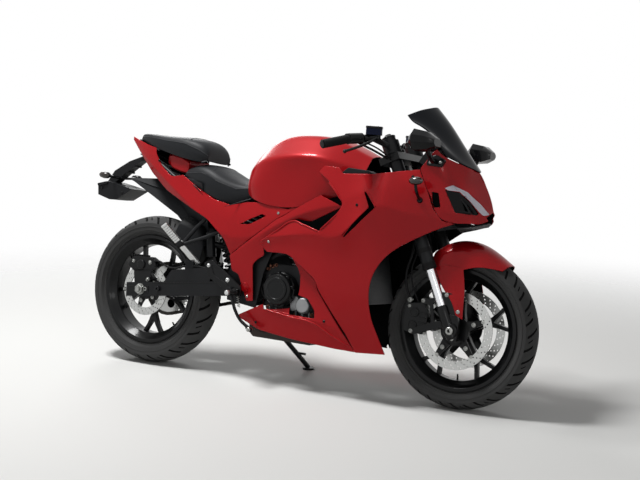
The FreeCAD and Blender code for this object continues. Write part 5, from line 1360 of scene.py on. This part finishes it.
class BIKE_OT_engine(Builder, Operator):
    """Engine covers, case ribs, bolts, hoses and the radiator's fins"""
    bl_idname = "bike.engine"
    bl_label = "Engine details"

    def build(self, sizes):
        x, z = ENGINE_COVER
        covers = []
        for side, inner, outer in ((-1, 105, 165), (1, 72, 153)):
            depth = outer - inner
            drum = lathed([(0, 68), (depth - 26, 68), (depth - 22, 64), (depth - 10, 62), (depth - 4, 57),
                           (depth - 3, 50), (depth - 3, 47), (depth + 2, 46), (depth + 3.5, 43), (depth + 3.5, 37),
                           (depth + 2, 35.5)], (x, side * inner, z), (0, side, 0), 96)
            covers.append(drum)
            for k in range(COVER_SCREWS):
                at = around((x, 0, z), 62.5, turns(k + 0.3, COVER_SCREWS), side * (inner + depth - 30))
                covers.append(lathed([(0, 8), (16, 7.5)], at, (0, side, 0), 20))
                covers.append(bolt(at + Vector((0, side * 16, 0)), (0, side, 0), 5.2, washer=False))
        add_piece("round_covers", joined(*covers), "chassis", ["powder_coated_alloy"], ["engine_covers"],
                  0.6)
        ribs = [prism([(at, 270), (at + 5, 270), (at + 5, 300), (at, 300)], -111, -104, 1)
                for at in range(628, 838, 30)]
        for height in range(478, 638, 20):
            back = 688 + (height - 460) * CYLINDER_LEAN
            fin = [(back - 6, height), (back + 122, height - 18), (back + 122, height - 14), (back - 6, height + 4)]
            ribs.append(prism(fin, -99, 99, 1))
        ribs.append(lathed([(0, 32), (30, 30), (34, 26)], (792, -105, 322), OUT, 40))
        ribs.append(prism([(736, 296), (762, 300), (764, 352), (742, 356), (730, 330)], -124, -104, 5))
        ribs.append(prism([(800, 380), (856, 352), (866, 380), (820, 410)], -118, -104, 5))
        add_piece("case_ribs", joined(*ribs), "chassis", ["cast_aluminium"], bevel=1.2)
        bright = [bolt((bx, -105, bz), OUT, r, h) for bx, bz, r, h in
                  ((612, 450, 6, 12), (628, 462, 6, 16), (645, 466, 5, 10), (622, 300, 6, 8), (650, 278, 6, 6),
                   (745, 285, 6, 8), (820, 288, 6, 8), (860, 330, 6, 8))]
        add_piece("case_bolts", joined(*bright), "chassis", ["copper_bolt"])
        pipes = [hose([(610, -96, 470), (640, -110, 500), (700, -112, 520), (770, -108, 560)], 8),
                 hose([(800, -118, 340), (842, -124, 330), (860, -118, 380), (850, -100, 450), (930, -96, 520)], 10),
                 hose([(590, -90, 330), (560, -108, 300), (620, -112, 284), (740, -112, 262)], 5),
                 hose([(600, -100, 440), (585, -112, 400), (598, -112, 350), (620, -104, 320)], 4.5)]
        add_tube("engine_hoses", joined(*pipes), "chassis")
        core = joined(*[prism([(16.5, h), (19.5, h), (19.5, h + 1.2), (16.5, h + 1.2)], -126, 126)
                        for h in (-118 + k * FIN_PITCH for k in range(FINS))])
        core.transform(Matrix.Translation((1010, 0, 470)) @ Matrix.Rotation(math.radians(-12), 4, "Y"))
        add_piece("radiator_fins", core, "chassis", ["painted_crankcase"])


RIDER_PEG = (500, -160, 345)        # inner end of the right-hand peg's bar


class BIKE_OT_running_gear(Builder, Operator):
    """Shock spring, hugger, axle nuts, foot pegs and foot levers"""
    bl_idname = "bike.running_gear"
    bl_label = "Running gear details"

    def build(self, sizes):
        foot, top = Vector((392, 0, 400)), Vector((318, 0, 628))
        along = (top - foot).normalized()
        turn = along.to_track_quat("Z", "Y").to_matrix()
        coil = [foot + along * 52 + turn @ Vector((32 * math.cos(a), 32 * math.sin(a), a * 3.4))
                for a in (k * math.pi / 6 for k in range(85))]
        add_tube("shock_spring", hose(coil, 5.4), "chassis", "satin_enamel")
        cups = [turned([(low, 20), (low, 38), (high, 38), (high, 20)], foot, along)
                for low, high in ((44, 50), (196, 204))]
        add_piece("spring_seats", joined(*cups), "chassis", ["tumbled_aluminium"], bevel=0.6)

        rows = [[(268, 0, 520), (268, 55, 514), (264, 74, 484), (256, 75, 438)],
                [(238, 0, 602), (234, 52, 592), (222, 74, 560), (214, 76, 450)],
                [(150, 0, 626), (148, 50, 618), (142, 72, 596), (130, 80, 560)]]
        guard = sheet(full_width(rows), [("column", 1, 0.6), ("column", 5, 0.6)], (0.6, 0, 1))
        add_wall(guard, WALL, 0)
        ears = prism([(216, 404), (256, 404), (256, 446), (216, 452)], -112, -106, 4)
        arms = prism([(218, 440), (254, 436), (254, 446), (218, 452)], -108, -72, 2)
        add_piece("hugger_guard", joined(baked(guard), both(joined(ears, arms))), "chassis", ["grained_abs"],
                  ["rear_hugger"], 1.0, angle=SKIN_ANGLE)

        bits = []
        for side in (-1, 1):
            bits += [puck((0, side * ARM_Y, 310), (0, side, 0), 23, 0, 2.6, 32),
                     hex_nut((0, side * (ARM_Y + 2.6), 310), (0, side, 0), 20, 12),
                     lathed([(0, 10.4), (8, 10.4), (9.5, 8.5)], (0, side * (ARM_Y + 13), 310),
                            (0, side, 0), 24),
                     hex_nut((28, side * ARM_Y, 313), (0, side, 0), 9, 6),
                     rod((-92, side * 106, 301), (-60, side * 106, 304), 5, segments=16),
                     hex_nut((-84, side * 106, 302), (-1, 0, -0.1), 9, 7)]
        add_piece("rear_axle_nuts", joined(*bits), "chassis", ["zinc_plated_steel"], bevel=0.4)
        plates = [prism([(-64, 290), (44, 300), (44, 328), (-64, 318)], side * ARM_Y - 2.5, side * ARM_Y + 2.5, 5)
                  for side in (-1, 1)]
        seams = [prism([(60, 339), (420, 375), (420, 378), (60, 342)], side * ARM_Y - 1.5, side * ARM_Y + 1.5)
                 for side in (-1, 1)]
        add_piece("arm_plates", joined(*plates, *seams), "chassis", ["powder_coated_alloy"], bevel=0.8)

        tip, knuckle, pin = (212, -142, 512), (206, -146, 516), (0.75, 0, 0.66)
        arms = [hose([(318, -94, 650), (262, -112, 590), tip], 8, 5, False),
                hose([(392, -96, 590), (300, -112, 548), tip], 8, 5, False),
                puck(knuckle, pin, 13, -14, 14)]
        hinge = [puck(knuckle, pin, 6, -16, 16, 16)]
        start, end = Vector((208, -142, 512)), Vector((146, -207, 602))
        out = (end - start).normalized()
        wide = Vector((0.82, 0, 0.57))
        wide = (wide - out * wide.dot(out)).normalized()
        bar = sketch([(-13, -6), (13, -6), (13, 6), (-13, 6)], 4, (end - start).length - 10, start + out * 10, wide,
                     out.cross(wide).normalized())
        ribs = [rod(at - wide * 14, at + wide * 14, 7.4, segments=8)
                for at in (start + out * (22 + 10 * k) for k in range(9))]
        add_piece("passenger_foot_pegs", both(layered(arms, [bar, *ribs, *hinge])), "chassis",
                  ["satin_enamel", "tumbled_aluminium"], ["passenger_pegs"], 0.8)

        hanger = prism([(338, 451), (376, 463), (421, 435), (520, 368), (520, 327), (459, 342), (358, 397)],
                       -156, -148, 8)
        window = prism([(372, 440), (388, 444), (430, 416), (470, 388), (466, 366), (390, 404)], -160, -153, 6)
        hanger = cut_by(hanger, window)
        stays = [rod((a, -148, b), (a, -125, b), 10) for a, b in ((500, 345), (455, 390))]
        peg = lathed([(0, 9), (6, 10.5), (60, 10.5), (66, 9)], RIDER_PEG, OUT, 28)
        sleeve = [turned([(10 + 7 * k, 10), (10 + 7 * k, 12.5), (13.5 + 7 * k, 12.5), (13.5 + 7 * k, 10)],
                         RIDER_PEG, OUT, 24) for k in range(7)]
        clevis = prism([(484, 332), (512, 332), (514, 358), (486, 360)], -166, -154, 4)
        screws = [bolt((500, -156, 345), OUT, 8), bolt((455, -156, 390), OUT, 7), bolt((360, -156, 440), OUT, 6)]
        add_piece("rider_foot_pegs", both(layered([hanger, clevis, *stays], [peg, *screws], sleeve)), "chassis",
                  ["powder_coated_alloy", "tumbled_aluminium", "grip_rubber"], ["footrests"], 1.0)
        lever = [rod((474, -170, 352), (474, -157, 352), 12),
                 hose([(474, -164, 352), (528, -166, 248), (585, -166, 208)], 6.5),
                 rod((566, -160, 214), (594, -178, 206), 8)]
        tip_pad = lathed([(0, 8), (2, 9), (22, 9), (24, 7)], (585, -160, 208), OUT, 20)
        add_piece("foot_controls", both(layered(lever, [tip_pad])), "chassis",
                  ["satin_enamel", "zinc_plated_steel"], ["foot_levers"], 0.6)
        spring = [Vector((514, -150, 288)) + Vector((-0.2, 0, 1)) * (1.3 * a)
                  + Vector((5 * math.cos(a), 5 * math.sin(a), 0)) for a in (k * math.pi / 4 for k in range(56))]
        add_tube("pedal_spring", hose(spring, 1.4, 2), "chassis", "zinc_plated_steel")


class BIKE_OT_tail_details(Builder, Operator):
    """Red centre of the tail, tail lamp and plate carrier details"""
    bl_idname = "bike.tail_details"
    bl_label = "Tail details"

    def build(self, sizes):
        sections = []
        for x, low, high, half in ((48, 842, 884, 56), (80, 820, 888, 66), (130, 806, 880, 74), (172, 800, 860, 78)):
            right = [(x, -10, high), (x, -half + 10, high), (x, -half, high - 12), (x, -half, low + 6),
                     (x, -half + 12, low)]
            sections.append(right + [(a, -b, c) for a, b, c in reversed(right)])
        add_piece("tail_centre", loft(sections), "chassis", ["candy_red_lacquer"], bevel=5, segments=4)
        glass = prism([(-158, 930), (-112, 884), (-86, 894), (-116, 926), (-150, 940)], -26, 26, 4)
        body = prism([(-112, 886), (-84, 878), (-66, 900), (-96, 926), (-120, 928)], -42, 42, 5)
        add_piece("tail_lamp", layered([glass], [body]), "chassis", ["red_polycarbonate", "gloss_abs"],
                  ["tail_light"], 1.2)
        ribs = [prism([(x - 34 * k, z - 27 * k) for x, z in ((-118, 846), (-112, 850), (-120, 862), (-126, 858))],
                      -24, 24, 1) for k in range(5)]
        shade = prism([(-262, 752), (-313, 740), (-308, 728), (-258, 742)], -66, 66, 3)
        lamp = prism([(-268, 748), (-250, 752), (-248, 744), (-264, 740)], -18, 18, 2)
        screws = [bolt((x, -61, z), OUT, 5) for x, z in ((-290, 722), (-180, 706))]
        add_piece("plate_carrier_ribs", joined(*ribs, shade, lamp, both(joined(*screws))), "chassis", ["grained_abs"],
                  bevel=1.0)


KEPT_NODES = {
    "satin_enamel": ("fork_tubes", "handlebars", "swingarm", "stand_bobbins", "main_frame", "subframe", "radiator",
                     "rear_shock", "front_stay", "side_stand", "stand_bracket"),
    "powder_coated_alloy": ("triple_clamps",),
    "painted_crankcase": ("engine",),
    "heat_stained_steel": ("exhaust",),
    "grained_abs": ("undertray", "plate_holder", "chin_panel"),
}


class BIKE_OT_kept_pieces(Builder, Operator):
    """Finishes for the CAD pieces that are shown as they are"""
    bl_idname = "bike.kept_pieces"
    bl_label = "Frame and running gear"

    def build(self, sizes):
        for material, nodes in KEPT_NODES.items():
            for node in nodes:
                dress(node, material)


CAMERA = Vector((3.0307, -3.9927, 1.1461))      # from the rear wheel's foot
CAMERA_YAW, CAMERA_PITCH, CAMERA_ROLL = 119.06, 7.02, 1.14
CAMERA_LENS = 66.7


class BIKE_OT_stage(Operator):
    """Pale floor, soft studio light and the camera"""
    bl_idname = "bike.stage"
    bl_label = "Stage"

    def execute(self, context):
        scene = context.scene
        paper = bpy.data.materials.new("pale_floor")
        paper.use_nodes = True
        tree = paper.node_tree
        shader = tree.nodes["Principled BSDF"]
        shader.inputs["Base Color"].default_value = (*srgb("d2d2d0"), 1)
        shader.inputs["Roughness"].default_value = 0.9
        place = add_node(tree, "ShaderNodeTexCoord")
        away = add_node(tree, "ShaderNodeVectorMath", {"operation": "LENGTH"}, {0: (place, "Object")})
        fade = add_node(tree, "ShaderNodeMapRange", {"interpolation_type": "SMOOTHSTEP", "From Min": 1.3,
                                                     "From Max": 4.5},
                        {"Value": (away, "Value")})
        clear = add_node(tree, "ShaderNodeBsdfTransparent")
        blend = add_node(tree, "ShaderNodeMixShader", {}, {0: (fade, "Result"), 1: (shader, "BSDF"),
                                                           2: (clear, "BSDF")})
        tree.links.new(blend.outputs["Shader"], tree.nodes["Material Output"].inputs["Surface"])
        floor_mesh = bmesh.new()
        bmesh.ops.create_circle(floor_mesh, cap_ends=True, segments=64, radius=4.6)
        mesh = bpy.data.meshes.new("floor")
        floor_mesh.to_mesh(mesh)
        floor_mesh.free()
        mesh.materials.append(paper)
        floor = bpy.data.objects.new("floor", mesh)
        scene.collection.objects.link(floor)
        for name, place, target, size, power in (
                ("key_softbox", (-1.7, -0.9, 4.5), (0, 0, 0.5), 1.2, 250),
                ("side_softbox", (3.4, -3.4, 2.2), (0.2, 0, 0.5), 1.0, 14),
                ("back_softbox", (-3.2, 3.0, 2.6), (0, 0, 0.6), 2.0, 60)):
            light = bpy.data.lights.new(name, "AREA")
            light.shape, light.size, light.energy = "DISK", size, power
            lamp = bpy.data.objects.new(name, light)
            lamp.location = place
            lamp.rotation_mode = "QUATERNION"
            lamp.rotation_quaternion = (Vector(target) - Vector(place)).to_track_quat("-Z", "Y")
            scene.collection.objects.link(lamp)

        world = bpy.data.worlds.new("studio")
        world.use_nodes = True
        tree = world.node_tree
        paths = add_node(tree, "ShaderNodeLightPath")
        sharp = add_node(tree, "ShaderNodeMath", {"operation": "ADD"},
                         {0: (paths, "Is Glossy Ray"), 1: (paths, "Is Transmission Ray")})
        seen = add_node(tree, "ShaderNodeMath", {"operation": "ADD", "use_clamp": True},
                        {0: (paths, "Is Camera Ray"), 1: (sharp, "Value")})
        level = add_node(tree, "ShaderNodeMapRange", {"To Min": 0.15, "To Max": 1.0}, {"Value": (seen, "Value")})
        back = tree.nodes["Background"]
        back.inputs["Color"].default_value = (1, 1, 1, 1)
        tree.links.new(level.outputs["Result"], back.inputs["Strength"])
        scene.world = world

        ground = GROUND.translation
        camera = bpy.data.objects.new("camera", bpy.data.cameras.new("camera"))
        camera.data.lens = CAMERA_LENS
        yaw, pitch, roll = (math.radians(a) for a in (CAMERA_YAW, CAMERA_PITCH, CAMERA_ROLL))
        ahead = Vector((math.cos(yaw) * math.cos(pitch), math.sin(yaw) * math.cos(pitch), -math.sin(pitch)))
        right = Vector((math.sin(yaw), -math.cos(yaw), 0))
        up = right.cross(ahead)
        level_right = right * math.cos(roll) + up * math.sin(roll)
        level_up = up * math.cos(roll) - right * math.sin(roll)
        turn = Matrix((level_right, level_up, -ahead)).transposed().to_4x4()
        camera.matrix_world = Matrix.Translation((ground.x + CAMERA.x, ground.y + CAMERA.y, CAMERA.z)) @ turn
        scene.collection.objects.link(camera)
        scene.camera = camera
        scene.view_settings.view_transform = "Standard"
        return {"FINISHED"}


class BIKE_PT_panel(Panel):
    """Buttons for each group of pieces"""
    bl_idname = "BIKE_PT_panel"
    bl_label = "Sport bike"
    bl_space_type = "VIEW_3D"
    bl_region_type = "UI"
    bl_category = "Bike"

    def draw(self, context):
        for owner in (context.scene.bike_finish, context.scene.bike_sizes):
            for key in owner.__annotations__:
                self.layout.prop(owner, key)
        for operator in OPERATORS:
            self.layout.operator(operator.bl_idname)


OPERATORS = (
    BIKE_OT_side_panels, BIKE_OT_nose, BIKE_OT_screen, BIKE_OT_tank, BIKE_OT_mudguard, BIKE_OT_panel_trim,
    BIKE_OT_lamps, BIKE_OT_tyres, BIKE_OT_rims, BIKE_OT_brakes, BIKE_OT_fork, BIKE_OT_controls, BIKE_OT_mirrors,
    BIKE_OT_seats, BIKE_OT_drive, BIKE_OT_engine, BIKE_OT_running_gear, BIKE_OT_tail_details,
    BIKE_OT_kept_pieces, BIKE_OT_stage,
)
CLASSES = (BikeFinish, BikeSizes, *OPERATORS, BIKE_PT_panel)


def register():
    for item in CLASSES:
        bpy.utils.register_class(item)
    bpy.types.Scene.bike_finish = PointerProperty(type=BikeFinish)
    bpy.types.Scene.bike_sizes = PointerProperty(type=BikeSizes)


def unregister():
    del bpy.types.Scene.bike_sizes
    del bpy.types.Scene.bike_finish
    for item in reversed(CLASSES):
        bpy.utils.unregister_class(item)


def main():
    register()
    for operator in OPERATORS:
        group, name = operator.bl_idname.split(".")
        getattr(getattr(bpy.ops, group), name)()


if __name__ == "__main__":
    main()
